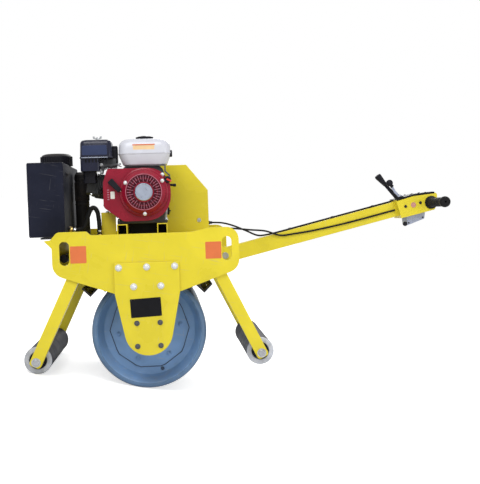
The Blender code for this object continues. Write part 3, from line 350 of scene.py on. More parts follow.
def build_materials(colours, detail):
    """Every finish on the machine."""
    wear, dust = detail.wear, detail.dust
    finish("body_paint", colours.body, 0.30, mottle=0.10, patch=7, wear=wear, dust=dust * 0.5, scuffs=0.18,
           grain=260, bump=0.10, coat=0.10, shine=0.25)
    finish("drum_paint", colours.drum, 0.42, mottle=0.22, patch=9, wear=wear * 0.9, dust=dust * 0.9,
           scuffs=0.35, wear_colour=(0.40, 0.42, 0.44, 1), grain=220, bump=0.14, shine=0.35)
    # Painted shade: a darker copy of the drum paint for the band round the rim's lip.
    finish("drum_lip_painted_shade", [part * 0.55 for part in colours.drum], 0.40, mottle=0.22, patch=9, wear=wear * 0.9,
           dust=dust * 0.9, scuffs=0.35, wear_colour=(0.30, 0.32, 0.34, 1), grain=220, bump=0.14, shine=0.35)
    finish("rim_steel", (0.17, 0.23, 0.33), 0.40, metal=0.45, mottle=0.28, patch=16, dust=dust, scuffs=0.5,
           wear_colour=(0.16, 0.17, 0.18, 1), grain=320, bump=0.18)
    finish("tank_paint", colours.tank, 0.46, mottle=0.35, patch=6, wear=wear * 0.5, dust=dust * 0.5,
           scuffs=0.10, grain=180, bump=0.10, shine=0.05)
    finish("starter_paint", colours.starter, 0.26, mottle=0.12, patch=20, wear=wear * 0.4, dust=dust * 0.3,
           grain=380, bump=0.06, coat=0.12, shine=0.25)
    finish("fuel_paint", colours.fuel, 0.24, mottle=0.06, patch=14, wear=wear * 0.2, dust=dust * 0.4,
           grain=300, bump=0.05, coat=0.2, shine=0.3)
    finish("silencer_black", (0.020, 0.019, 0.021), 0.55, mottle=0.4, patch=22, wear=wear * 0.6, dust=dust,
           wear_colour=(0.20, 0.10, 0.05, 1), grain=260, bump=0.3, shine=0.15)
    finish("black_steel", (0.018, 0.018, 0.022), 0.42, mottle=0.3, patch=20, wear=wear * 0.6, dust=dust * 0.5,
           grain=300, bump=0.15, shine=0.15)
    finish("zinc", (0.62, 0.64, 0.66), 0.26, metal=1.0, mottle=0.18, patch=60, dust=dust * 0.3, grain=500,
           bump=0.08)
    finish("white_bolt", (0.72, 0.74, 0.78), 0.22, metal=0.35, mottle=0.08, patch=70, dust=dust * 0.2,
           grain=600, bump=0.04, coat=0.4)
    finish("steel", (0.50, 0.51, 0.53), 0.32, metal=1.0, mottle=0.25, patch=30, dust=dust * 0.4, scuffs=0.3,
           wear_colour=(0.25, 0.24, 0.23, 1), grain=420, bump=0.12)
    finish("iron", (0.10, 0.105, 0.115), 0.6, metal=0.4, mottle=0.3, patch=30, wear=wear * 0.6, dust=dust,
           grain=170, pits=0.6, bump=0.5, depth=0.0006)
    finish("cast_aluminium", (0.52, 0.53, 0.55), 0.42, metal=0.85, mottle=0.25, patch=28, wear=0.0, dust=dust,
           grain=230, pits=0.5, bump=0.45, depth=0.0005)
    finish("machined_aluminium", (0.66, 0.67, 0.70), 0.28, metal=1.0, mottle=0.15, patch=40, dust=dust * 0.3,
           scuffs=0.2, grain=500, bump=0.06)
    # The starter hub's bluish metal. The air cleaner's seam strip takes it too, as a painted highlight.
    finish("hub_metal", (0.45, 0.50, 0.62), 0.30, metal=0.8, mottle=0.10, patch=60, dust=0.05, grain=500,
           bump=0.05)
    finish("cleaner_navy", (0.010, 0.012, 0.032), 0.22, mottle=0.30, patch=14, dust=dust * 0.4, scuffs=0.06,
           grain=420, pits=0.4, bump=0.12, coat=0.05, shine=0.3)
    finish("cleaner_panel", (0.026, 0.040, 0.105), 0.30, mottle=0.35, patch=10, dust=dust * 0.4, scuffs=0.06,
           grain=420, bump=0.10, shine=0.35)
    finish("control_grey", (0.30, 0.33, 0.43), 0.40, metal=0.3, mottle=0.2, patch=30, wear=wear * 0.5,
           dust=dust * 0.3, grain=400, bump=0.10)
    # Painted shade: a dark grey for the engine's aluminium block, cylinder head, carburettor and its rods, which
    # lie in shade.
    finish("shaded_casting", (0.075, 0.078, 0.084), 0.52, metal=0.5, mottle=0.35, patch=28, dust=dust * 0.6,
           grain=230, pits=0.5, bump=0.45, depth=0.0005)
    finish("starter_shade", (0.060, 0.002, 0.010), 0.45, mottle=0.2, patch=30, dust=0.05, grain=380,
           bump=0.08, shine=0.15)
    # Painted highlight: a pale pink for the lit edges of the grille's bars and of the housing's vent fins.
    finish("painted_edge_highlight", (0.50, 0.20, 0.28), 0.30, metal=0.2, mottle=0.3, patch=60, dust=0.05, grain=400,
           bump=0.06)
    # Painted shade: the dark line along the dish's stepped ring. The fill plug takes this colour too.
    finish("drum_shade", (0.055, 0.085, 0.140), 0.60, mottle=0.35, patch=24, dust=dust * 0.5, grain=220,
           bump=0.2)
    finish("black_plastic", (0.012, 0.012, 0.018), 0.42, mottle=0.25, patch=20, dust=dust * 0.4, scuffs=0.08,
           wear_colour=(0.08, 0.08, 0.09, 1), grain=420, pits=0.5, bump=0.25, depth=0.0003, shine=0.15)
    finish("rubber", (0.010, 0.010, 0.011), 0.62, mottle=0.25, patch=50, dust=dust * 0.35, grain=520,
           pits=0.6, bump=0.35, depth=0.0003, sheen=0.02, shine=0.12)
    finish("roller_grey", (0.52, 0.54, 0.60), 0.45, metal=0.3, mottle=0.30, patch=40, wear=wear, dust=dust,
           scuffs=0.3, wear_colour=(0.18, 0.16, 0.14, 1), grain=300, bump=0.2)
    finish("roller_navy", (0.016, 0.018, 0.036), 0.50, mottle=0.3, patch=20, wear=wear * 0.6, dust=dust * 0.4,
           grain=200, bump=0.12, shine=0.15)
    finish("sticker_orange", colours.sticker, 0.34, mottle=0.06, patch=30, dust=dust * 0.3, grain=500,
           bump=0.04, coat=0.3)
    finish("plate_black", (0.008, 0.008, 0.010), 0.38, mottle=0.15, patch=40, dust=dust * 0.5, grain=500,
           bump=0.04, shine=0.10)
    finish("label_white", (0.72, 0.72, 0.70), 0.38, mottle=0.05, patch=40, dust=dust * 0.3, grain=500,
           bump=0.03)
    finish("label_beige", (0.78, 0.55, 0.30), 0.36, mottle=0.06, patch=40, dust=dust * 0.2, grain=500,
           bump=0.03)
    finish("switch_red", (0.62, 0.03, 0.01), 0.30, mottle=0.05, patch=60, dust=0.05, grain=500, bump=0.05,
           coat=0.3)
    finish("copper_rose", (0.62, 0.30, 0.24), 0.35, metal=0.3, mottle=0.1, patch=60, dust=0.1, grain=500,
           bump=0.05)
    finish("brass", (0.62, 0.45, 0.16), 0.30, metal=1.0, mottle=0.15, patch=60, dust=0.1, grain=500,
           bump=0.06)


SLOT_FINISH = {
    "yellow_paint": "body_paint", "deck_paint": "body_paint", "drum_paint": "drum_paint",
    "black_paint": "black_steel", "crimson_paint": "starter_paint", "white_paint": "fuel_paint",
    "bearing_iron": "iron", "bare_steel": "steel", "cast_aluminium": "cast_aluminium",
    "black_plastic": "black_plastic", "black_rubber": "rubber",
}


# ---------------------------------------------------------------- drawing

def looking(direction, x, y, z, turn=0.0):
    """A place whose +Z points out of a face: left, right, front, back, up or down."""
    axes = {
        "left": ((1, 0, 0), (0, 0, 1), (0, -1, 0)), "right": ((-1, 0, 0), (0, 0, 1), (0, 1, 0)),
        "front": ((0, -1, 0), (0, 0, 1), (-1, 0, 0)), "back": ((0, 1, 0), (0, 0, 1), (1, 0, 0)),
        "up": ((1, 0, 0), (0, 1, 0), (0, 0, 1)), "down": ((1, 0, 0), (0, -1, 0), (0, 0, -1)),
    }[direction]
    return Matrix.Translation((x, y, z)) @ Matrix(axes).transposed().to_4x4() @ Matrix.Rotation(turn, 4, "Z")


def side_word(side):
    return "left" if side < 0 else "right"


def drawings(count):
    return [bmesh.new() for _ in range(count)]


def ring_at(bm, outline, level, place=Matrix()):
    """An outline's verts at one height over the place's XY."""
    return [bm.verts.new(place @ Vector((x, y, level))) for x, y in outline]


def bridge(bm, rings):
    """Joins rings that have the same count of verts."""
    for low, high in zip(rings, rings[1:]):
        count = len(low)
        for k in range(count):
            bm.faces.new((low[k], low[(k + 1) % count], high[(k + 1) % count], high[k]))


def solid(bm, rings):
    """Joins rings and closes both ends."""
    bridge(bm, rings)
    bm.faces.new(rings[0][::-1])
    bm.faces.new(rings[-1])


def prism(bm, outline, low, high, place=Matrix()):
    """A straight block on an outline in the place's XY, from low to high along its Z."""
    solid(bm, [ring_at(bm, outline, level, place) for level in (low, high)])


def flat(bm, outline_xz, y0, y1):
    """A block on an outline in the level frame's XZ, from y0 to y1."""
    prism(bm, outline_xz, -max(y0, y1), -min(y0, y1), looking("left", 0, 0, 0))


def brick(bm, x0, x1, y0, y1, z0, z1, place=Matrix()):
    prism(bm, [(x0, y0), (x1, y0), (x1, y1), (x0, y1)], z0, z1, place)


def turned(bm, profile, place=Matrix(), facets=32, loop=False):
    """A shape turned about the place's Z from (radius, height) points. A loop closes on itself."""
    angles = [math.tau * k / facets for k in range(facets)]
    rings = []
    for radius, height in profile:
        circle = [(radius * math.cos(a), radius * math.sin(a)) for a in angles] if radius else [(0, 0)]
        rings.append(ring_at(bm, circle, height, place))
    pairs = list(zip(rings, rings[1:])) + ([(rings[-1], rings[0])] if loop else [])
    for low, high in pairs:
        if len(low) == 1 or len(high) == 1:
            tip, ring = (low, high) if len(low) == 1 else (high, low)
            for k in range(facets):
                bm.faces.new((tip[0], ring[k], ring[(k + 1) % facets]))
        else:
            bridge(bm, [low, high])
    if not loop:
        for ring in (rings[0], rings[-1]):
            if len(ring) > 1:
                bm.faces.new(ring)


def tube(bm, route, radius, sides=12, swell=None):
    """A round rod along a route, with its own radius at each point where swell gives one."""
    points = [Vector(p) for p in route]
    rings = []
    side = None
    for k, point in enumerate(points):
        ahead = (points[min(k + 1, len(points) - 1)] - points[max(k - 1, 0)]).normalized()
        if side is None:
            side = ahead.orthogonal().normalized()
        side = (side - ahead * side.dot(ahead)).normalized()
        other = ahead.cross(side)
        r = radius if swell is None else swell(k)
        rings.append([bm.verts.new(point + side * r * math.cos(a) + other * r * math.sin(a))
                      for a in (math.tau * n / sides for n in range(sides))])
    solid(bm, rings)


def smooth_line(points, steps=6):
    """Points on a smooth curve through the given ones."""
    given = [Vector(p) for p in points]
    given = [given[0] * 2 - given[1]] + given + [given[-1] * 2 - given[-2]]
    line = []
    for a, b, c, d in zip(given, given[1:], given[2:], given[3:]):
        for k in range(steps):
            t = k / steps
            line.append(0.5 * ((2 * b) + (c - a) * t + (2 * a - 5 * b + 4 * c - d) * t * t
                               + (3 * b - a - 3 * c + d) * t ** 3))
    return line + [given[-2]]


def softened(corners, step=math.radians(12)):
    """An outline with each corner (x, y, radius) rounded."""
    count = len(corners)
    line = []
    for k in range(count):
        x, y, radius = corners[k]
        here = Vector((x, y))
        if radius <= 0:
            line.append((x, y))
            continue
        before = (Vector(corners[k - 1][:2]) - here)
        after = (Vector(corners[(k + 1) % count][:2]) - here)
        a, b = before.normalized(), after.normalized()
        half = a.angle(b) / 2
        reach = min(radius / math.tan(half), before.length * 0.499, after.length * 0.499)
        radius = reach * math.tan(half)
        centre = here + (a + b).normalized() * (radius / math.sin(half))
        start, end = here + a * reach - centre, here + b * reach - centre
        sweep = start.angle_signed(end)
        steps = max(int(abs(sweep) / step) + 1, 2)
        for n in range(steps + 1):
            spin = Matrix.Rotation(-sweep * n / steps, 2)
            point = centre + spin @ start
            line.append((point.x, point.y))
    return line


def rect(x0, x1, y0, y1, radius, step=math.radians(12)):
    """A rectangle's outline with rounded corners."""
    return softened([(x0, y0, radius), (x1, y0, radius), (x1, y1, radius), (x0, y1, radius)], step)


def scaled(outline, size):
    return [(x * size, y * size) for x, y in outline]


def pointing(at, ahead):
    """A place whose +Z points ahead."""
    return Matrix.Translation(at) @ ahead.to_track_quat("Z", "Y").to_matrix().to_4x4()


def arc(radius, angles):
    """Points of a circle at angles in degrees."""
    return [(radius * math.cos(math.radians(a)), radius * math.sin(math.radians(a))) for a in angles]


def turn_by(degrees, axis):
    return Matrix.Rotation(math.radians(degrees), 4, axis)


def around(place, count):
    """Places at equal turns about a place's Z."""
    return [place @ Matrix.Rotation(math.tau * k / count, 4, "Z") for k in range(count)]


def hexagon(across, turn=0.0):
    radius = across / math.sqrt(3)
    angles = [turn + math.tau * k / 6 for k in range(6)]
    return [(radius * math.cos(a), radius * math.sin(a)) for a in angles]


def hex_bolt(bm, place, across=0.013, head=0.008, turn=0.3):
    """A hexagon head with a chamfered top on its washer, with the thread's end in its middle."""
    turned(bm, [(across * 0.86, -0.0002), (across * 0.86, 0.0015), (across * 0.80, 0.0020)], place, 24)
    outline = hexagon(across, turn)
    solid(bm, [ring_at(bm, scaled(outline, size), level, place)
               for size, level in ((1.0, 0.0018), (1.0, 0.0018 + head * 0.82), (0.88, 0.0018 + head))])
    turned(bm, [(across * 0.30, head), (across * 0.30, head + 0.0034), (across * 0.22, head + 0.0042)], place,
           16)


def dome_bolt(bm, place, radius=0.012, height=0.009):
    """A round domed head on a thin washer."""
    dome = [(radius * x, 0.0016 + height * y) for x, y in arc(1.0, range(0, 90, 15))]
    turned(bm, [(radius * 1.18, -0.0002), (radius * 1.18, 0.0016)] + dome + [(0.0, 0.0016 + height)], place,
           28)


def screw(bm, place, radius=0.004, height=0.003):
    """A small round screw head with a cross slot cut as a sunk star."""
    turned(bm, [(radius, -0.0002), (radius, height * 0.6), (radius * 0.8, height), (radius * 0.45, height),
                (radius * 0.3, height * 0.55), (0.0, height * 0.5)], place, 20)


def weld(bm, points, radius=0.003, ripple=0.0026):
    """A rippled weld bead along a line."""
    line = []
    for a, b in zip(points, points[1:]):
        a, b = Vector(a), Vector(b)
        steps = max(int((b - a).length / ripple), 2)
        line += [a.lerp(b, k / steps) for k in range(steps)]
    line.append(Vector(points[-1]))
    tube(bm, line, radius, 8, swell=lambda k: radius * (1.0 if k % 2 else 0.78))


def shaped(name, bm, material, smooth=35.0):
    """Makes an object from a drawing in the level frame."""
    bmesh.ops.recalc_face_normals(bm, faces=bm.faces)
    bmesh.ops.transform(bm, matrix=LEVEL_TO_WORLD, verts=bm.verts)
    mesh = bpy.data.meshes.new(name)
    bm.to_mesh(mesh)
    bm.free()
    mesh.materials.append(MATERIALS[material])
    mesh.shade_smooth()
    mesh.set_sharp_from_angle(angle=math.radians(smooth))
    made = bpy.data.objects.new(name, mesh)
    bpy.context.collection.objects.link(made)
    return made


def piece(name, bm, material, body="frame", *, edge=0.0, smooth=35.0, segments=2):
    """Makes a piece with rounded edges, and lets it ride on a body."""
    made = shaped(name, bm, material, smooth)
    if edge:
        bevel = made.modifiers.new("edges", "BEVEL")
        bevel.width = edge
        bevel.segments = segments
        bevel.limit_method = "ANGLE"
        bevel.angle_limit = math.radians(32)
        bevel.harden_normals = True
        bevel.use_clamp_overlap = True
    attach(made, body)
    return made


def cad_drawing(node):
    """A node's solid as a drawing in the level frame, with flat faces whole again."""
    bm = bmesh.new()
    bm.from_mesh(NODES[node].data)
    bmesh.ops.transform(bm, matrix=WORLD_TO_LEVEL, verts=bm.verts)
    bmesh.ops.remove_doubles(bm, verts=bm.verts, dist=0.00002)
    bmesh.ops.dissolve_limit(bm, angle_limit=math.radians(0.6), verts=bm.verts, edges=bm.edges)
    return bm


def skin(node, edge, material=None, segments=2, smooth=35.0):
    """A node's own solid with its edges rounded, which stands for the node."""
    material = material or SLOT_FINISH[NODE_SLOT[node]]
    made = piece(node + "_finished", cad_drawing(node), material, NODE_BODY[node], edge=edge,
                 segments=segments, smooth=smooth)
    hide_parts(node)
    return made


def stand_for(made, node):
    """This piece stands for a node, whose own mesh is hidden."""
    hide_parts(node)
    return made


def detail_of(context):
    return context.scene.roller_detail


# ---------------------------------------------------------------- frame plates

class ROLLER_OT_plates(bpy.types.Operator):
    """Side plates, fork plates and cross plates with their bolts, stickers and name plates"""

    bl_idname = "roller.plates"
    bl_label = "Frame plates"

    def execute(self, context):
        edge = detail_of(context).edge
        for word in ("left", "right"):
            skin(f"side_plate_{word}", edge)
            skin(f"fork_plate_{word}", edge * 1.3)
            skin(f"bearing_{word}", edge)
        for node in ("front_cross_plate", "rear_cross_plate", "engine_deck"):
            skin(node, edge * 0.8)
        for node in ("engine_rail_front", "engine_rail_rear"):
            skin(node, edge * 0.8)
        for side in (-1, 1):
            word = side_word(side)
            self.bolts(side, word)
            self.labels(side, word)
            self.welds(side, word)
        return {"FINISHED"}

    def bolts(self, side, word):
        """Domed and hexagon bolts on a fork plate."""
        bright, grey = drawings(2)
        for x, z in ((-0.101, 0.245), (0.0, 0.245), (0.101, 0.245), (-0.049, 0.175), (0.049, 0.175)):
            dome_bolt(bright, looking(word, x, side * FORK_FACE, z), 0.0105, 0.0085)
        for x in (-0.042, 0.042):
            for z in (-0.042, 0.042):
                hex_bolt(grey, looking(word, x, side * FORK_FACE, z), 0.0115, 0.006, turn=x * 9)
        piece(f"fork_dome_bolts_{word}", bright, "white_bolt")
        piece(f"fork_bearing_bolts_{word}", grey, "iron", edge=0.0004)

    def labels(self, side, word):
        """Blank stickers by the slots, and a blank name plate with its rivets."""
        sticker, plate, rivets = drawings(3)
        for x in (-0.244, 0.244):
            outline = rect(-0.029, 0.029, -0.031, 0.031, 0.003)
            prism(sticker, outline, -0.0001, 0.0006, looking(word, x, side * PLATE_FACE, 0.297))
        outline = rect(-0.0555, 0.0555, -0.034, 0.034, 0.003)
        tilt = math.radians(2.5)
        spot = looking(word, -0.0075, side * FORK_FACE, 0.098, turn=tilt)
        prism(plate, outline, -0.0001, 0.0012, spot)
        inner = [(x * 0.88, y * 0.82) for x, y in outline]
        prism(plate, inner, 0.0011, 0.0017, spot)
        for x in (-0.051, 0.051):
            for y in (-0.0295, 0.0295):
                turned(rivets, [(0.0022, 0.0010), (0.0018, 0.0022), (0.0, 0.0026)],
                       spot @ Matrix.Translation((x, y, 0)), 14)
        piece(f"slot_stickers_{word}", sticker, "sticker_orange", edge=0.0002)
        piece(f"name_plate_{word}", plate, "plate_black", edge=0.0004)
        piece(f"name_plate_rivets_{word}", rivets, "black_steel")

    def welds(self, side, word):
        """Beads where a side plate meets the cross plates and the deck."""
        beads = bmesh.new()
        inside = side * (PLATE_BACK - 0.002)
        for x in (level_box("front_cross_plate")[1].x, level_box("rear_cross_plate")[0].x):
            weld(beads, [(x, inside, 0.252), (x, inside, DECK_TOP - 0.010)], 0.0035)
        low, high = level_box("engine_deck")
        weld(beads, [(low.x + 0.02, inside, low.z), (high.x - 0.02, inside, low.z)], 0.0035)
        piece(f"frame_welds_{word}", beads, "body_paint", smooth=60)


# ---------------------------------------------------------------- drum

class ROLLER_OT_drum(bpy.types.Operator):
    """The drum with its dished ends, their bolts, and the exciter shaft"""

    bl_idname = "roller.drum"
    bl_label = "Drum"

    def execute(self, context):
        facets = detail_of(context).facets
        rim, end = level_box("drum")[1].z, level_box("drum")[1].y
        bore = level_box("drum_axle")[1].z * 0.5 + 0.0006
        bm = bmesh.new()
        turned(bm, self.section(rim, end, bore), looking("right", 0, 0, 0), facets, loop=True)
        made = piece("drum_finished", bm, "drum_paint", "drum", smooth=28)
        for material in ("rim_steel", "drum_lip_painted_shade"):
            made.data.materials.append(MATERIALS[material])
        for face in made.data.polygons:
            spot = WORLD_TO_LEVEL @ face.center
            radius = math.hypot(spot.x, spot.z)
            # The mantle takes bare steel; the faces near the rim take the darker copy of the drum paint as painted
            # shade.
            if radius > rim - MANTLE_DEPTH and abs(spot.y) < end - 0.004:
                face.material_index = 1
            elif radius > rim - LIP_DEPTH:
                face.material_index = 2
        stand_for(made, "drum")
        self.end_details(end)
        skin("drum_axle", 0.0006)
        return {"FINISHED"}

    def section(self, rim, end, bore):
        """Half of the drum's section at each end: rounded lip, dish with a stepped ring, and hub."""
        half = []
        for a in (math.radians(90 * k / 8) for k in range(9)):
            half.append((rim - 0.018 * (1 - math.cos(a)), end - 0.018 * (1 - math.sin(a))))
        half += [(0.1935, end - 0.0015), (0.1910, end - 0.006), (0.1895, end - 0.020), (0.1865, end - 0.030),
                 (0.178, end - 0.062), (0.172, end - 0.0735), (0.169, end - 0.0748), (0.140, end - 0.0750),
                 (0.062, end - 0.0750), (0.060, end - 0.0740), (0.060, end - 0.0655), (0.059, end - 0.0650),
                 (bore, end - 0.0650), (bore, end - 0.085), (0.170, end - 0.085), (rim - 0.014, end - 0.055)]
        return half + [(radius, -height) for radius, height in half[::-1]]

    def end_details(self, end):
        for side in (-1, 1):
            word = side_word(side)
            face = side * (end - DISH_DEPTH)
            bolts, step, plug = drawings(3)
            for k in range(6):
                hex_bolt(bolts, self.on_dish(word, face, 0.118, 7 + 60 * k), 0.011, 0.006, turn=k)
            outer = []
            for k in range(48):
                a = math.tau * k / 48
                reach = RING_APOTHEM / max(math.cos(a % (math.tau / RING_SIDES) - math.pi / RING_SIDES), 0.93)
                outer.append((reach * math.cos(a), reach * math.sin(a)))
            inner, place = scaled(outer, 0.980), looking(word, 0, face, 0)
            rings = [ring_at(bm, outline, level, place) for bm, outline, level in (
                (step, outer, -0.0004), (step, outer, 0.0030), (step, inner, 0.0030), (step, inner, -0.0004))]
            bridge(step, rings + [rings[0]])
            dome_bolt(plug, self.on_dish(word, face, 0.158, -74), 0.006, 0.004)
            piece(f"drum_end_bolts_{word}", bolts, "drum_paint", "drum", edge=0.0004)
            # A thin raised ring along the step, coloured dark as painted shade.
            piece(f"drum_end_ring_{word}", step, "drum_shade", "drum", edge=0.0005)
            piece(f"drum_fill_plug_{word}", plug, "drum_shade", "drum")

    def on_dish(self, word, face, radius, degrees):
        """A place on the dished end, at a radius and an angle."""
        a = math.radians(degrees)
        return looking(word, radius * math.cos(a), face, radius * math.sin(a))


# ---------------------------------------------------------------- legs, rollers and scrapers

class ROLLER_OT_legs(bpy.types.Operator):
    """Four legs with their support rollers, axles, and the drum's scrapers"""

    bl_idname = "roller.legs"
    bl_label = "Legs and rollers"

    def execute(self, context):
        edge = detail_of(context).edge
        for end, word in ((-1, "front"), (1, "rear")):
            for side in ("left", "right"):
                skin(f"{word}_leg_{side}", edge * 2.4, segments=3)
            skin(f"{word}_roller_axle", 0.0008)
            self.roller(end, word)
            skin(f"{word}_scraper", edge * 0.6)
            self.nuts(end, word)
            self.scraper_bolts(end, word)
        return {"FINISHED"}

    def roller(self, end, word):
        """A steel tube with flanged ends and bushes."""
        low, high = level_box(f"{word}_roller")
        radius = (high.z - low.z) / 2
        reach = high.y - 0.004
        bore = 0.0106
        half = [(radius - 0.0008, reach - 0.026), (radius, reach - 0.024), (radius, reach - 0.004),
                (radius - 0.0012, reach - 0.0012), (radius - 0.004, reach), (0.034, reach),
                (0.032, reach - 0.002), (0.032, reach - 0.010), (0.0195, reach - 0.010),
                (0.0186, reach - 0.009), (0.0186, reach + 0.003), (0.0176, reach + 0.004),
                (bore, reach + 0.004), (bore, reach - 0.018), (radius - 0.007, reach - 0.018)]
        bm = bmesh.new()
        place = looking("right", end * ROLLER_AT.x, 0, ROLLER_AT.z)
        turned(bm, half + [(r, -y) for r, y in half[::-1]], place, 72, loop=True)
        made = piece(f"{word}_roller_finished", bm, "roller_navy", f"{word}_roller", smooth=28)
        made.data.materials.append(MATERIALS["roller_grey"])
        for face in made.data.polygons:
            if abs(face.center.y) > reach - 0.0035:
                face.material_index = 1
        stand_for(made, f"{word}_roller")

    def nuts(self, end, word):
        """Washers on the axle's ends."""
        bm = bmesh.new()
        for side in (-1, 1):
            face = side * (level_box(f"{word}_roller_axle")[1].y - 0.0078)
            place = looking(side_word(side), end * ROLLER_AT.x, face, ROLLER_AT.z)
            turned(bm, [(0.0168, -0.0002), (0.0168, 0.0016), (0.0135, 0.0020)], place, 28)
        piece(f"{word}_axle_washers", bm, "zinc")

    def scraper_bolts(self, end, word):
        """Bolts along a scraper's blade."""
        bm = bmesh.new()
        lean = turn_by(end * 45, "Y")
        for side in (-1, 1):
            for step in (0.05, 0.16, 0.27):
                hex_bolt(bm, Matrix.Translation((end * 0.2195, side * step, 0.1605)) @ lean, 0.009, 0.005)
        piece(f"{word}_scraper_bolts", bm, "zinc", edge=0.0003)


# ---------------------------------------------------------------- tank and water

class ROLLER_OT_tank(bpy.types.Operator):
    """The water tank with its cap, bracket, pipe and hose"""

    bl_idname = "roller.tank"
    bl_label = "Water tank"

    def execute(self, context):
        edge = detail_of(context).edge
        self.box(edge * 2.5)
        skin("tank_bracket", edge)
        skin("sprinkler_bar", edge * 0.8)
        self.cap()
        self.seams()
        self.hose()
        return {"FINISHED"}

    def box(self, edge):
        """The tank's sheet steel box, drawn a little lower than the node's."""
        low, high = level_box("water_tank")
        bm = bmesh.new()
        brick(bm, low.x, high.x, low.y, high.y, low.z, high.z - TANK_DROP)
        stand_for(piece("water_tank_finished", bm, "tank_paint", edge=edge, segments=3), "water_tank")

    def cap(self):
        """The ribbed filler cap and the ring under it."""
        low, high = level_box("tank_cap")
        x = (low.x + high.x) / 2
        radius, tall = (high.x - low.x) / 2, high.z - low.z + TANK_DROP - CAP_DROP
        place = Matrix.Translation((x, 0, low.z - TANK_DROP))
        bm = bmesh.new()
        turned(bm, [(radius - 0.002, 0.0), (radius - 0.001, 0.002), (radius - 0.003, tall - 0.012),
                    (radius - 0.008, tall - 0.005), (radius - 0.016, tall - 0.0015), (radius - 0.024, tall),
                    (0.018, tall), (0.016, tall - 0.001), (0.0, tall - 0.001)], place, 64)
        for spin in around(place, 36):
            brick(bm, radius - 0.004, radius, -0.0016, 0.0016, 0.003, tall - 0.011, spin)
        stand_for(piece("tank_cap_finished", bm, "black_plastic", edge=0.0005), "tank_cap")
        ring = bmesh.new()
        turned(ring, [(radius - 0.001, -0.0002), (radius + 0.001, 0.0004), (radius + 0.001, 0.0016),
                      (radius - 0.001, 0.0024)], place, 64)
        piece("tank_neck_ring", ring, "tank_paint")

    def seams(self):
        """The tank's weld beads and bolts."""
        low, high = level_box("water_tank")
        high.z -= TANK_DROP
        beads, hoops = drawings(2)
        for y in (low.y + 0.001, high.y - 0.001):
            for z in (low.z + 0.002, high.z - 0.002):
                weld(beads, [(low.x + 0.004, y, z), (high.x - 0.004, y, z)], 0.0022)
            for x in (low.x + 0.001, high.x - 0.001):
                weld(beads, [(x, y, low.z + 0.004), (x, y, high.z - 0.004)], 0.0022)
        piece("tank_welds", beads, "tank_paint", smooth=60)
        for y in (-0.17, 0.17):
            for z in (low.z + 0.028, high.z - 0.040):
                for place in (looking("front", low.x, y, z), looking("back", high.x, y, z)):
                    hex_bolt(hoops, place, 0.011, 0.005)
        piece("tank_bolts", hoops, "black_steel", edge=0.0003)

    def hose(self):
        """The arched hose from the tank's outlet, with its clips and fittings."""
        y, x, z = -0.120, level_box("water_tank")[1].x, level_box("water_tank")[0].z
        foot = DECK_TOP + 0.0003
        route = smooth_line([(x + 0.001, y, z + 0.022), (x + 0.012, y, z + 0.022), (x + 0.030, y, z + 0.020),
                             (-0.240, y, 0.392), (-0.225, y, 0.430), (-0.211, y, 0.461), (-0.198, y, 0.466),
                             (-0.186, y, 0.448), (-0.181, y, 0.400), (-0.181, y, foot)], 8)
        bm = bmesh.new()
        tube(bm, route, 0.009, 18, swell=lambda k: 0.009 if k % 2 else 0.0086)
        stand_for(piece("water_hose_finished", bm, "rubber", smooth=50), "water_hose")
        fittings = bmesh.new()
        for place in (looking("back", x, y, z + 0.022), looking("up", -0.181, y, foot)):
            turned(fittings, [(0.0155, -0.0002), (0.0155, 0.004), (0.0125, 0.005), (0.0118, 0.012),
                              (0.0093, 0.0122)], place, 28)
            prism(fittings, hexagon(0.021), 0.004, 0.010, place)
        piece("hose_fittings", fittings, "brass", edge=0.0004)
        clips = bmesh.new()
        for near, far in ((12, 13), (len(route) - 5, len(route) - 4)):
            ahead = (route[far] - route[near]).normalized()
            place = Matrix.Translation(route[near]) @ ahead.to_track_quat("Z", "Y").to_matrix().to_4x4()
            turned(clips, [(0.0094, -0.004), (0.0104, -0.004), (0.0104, 0.004), (0.0094, 0.004)], place, 28,
                   loop=True)
            brick(clips, 0.0098, 0.0145, -0.003, 0.003, -0.003, 0.003, place)
        piece("hose_clips", clips, "zinc", edge=0.0003)


# ---------------------------------------------------------------- engine

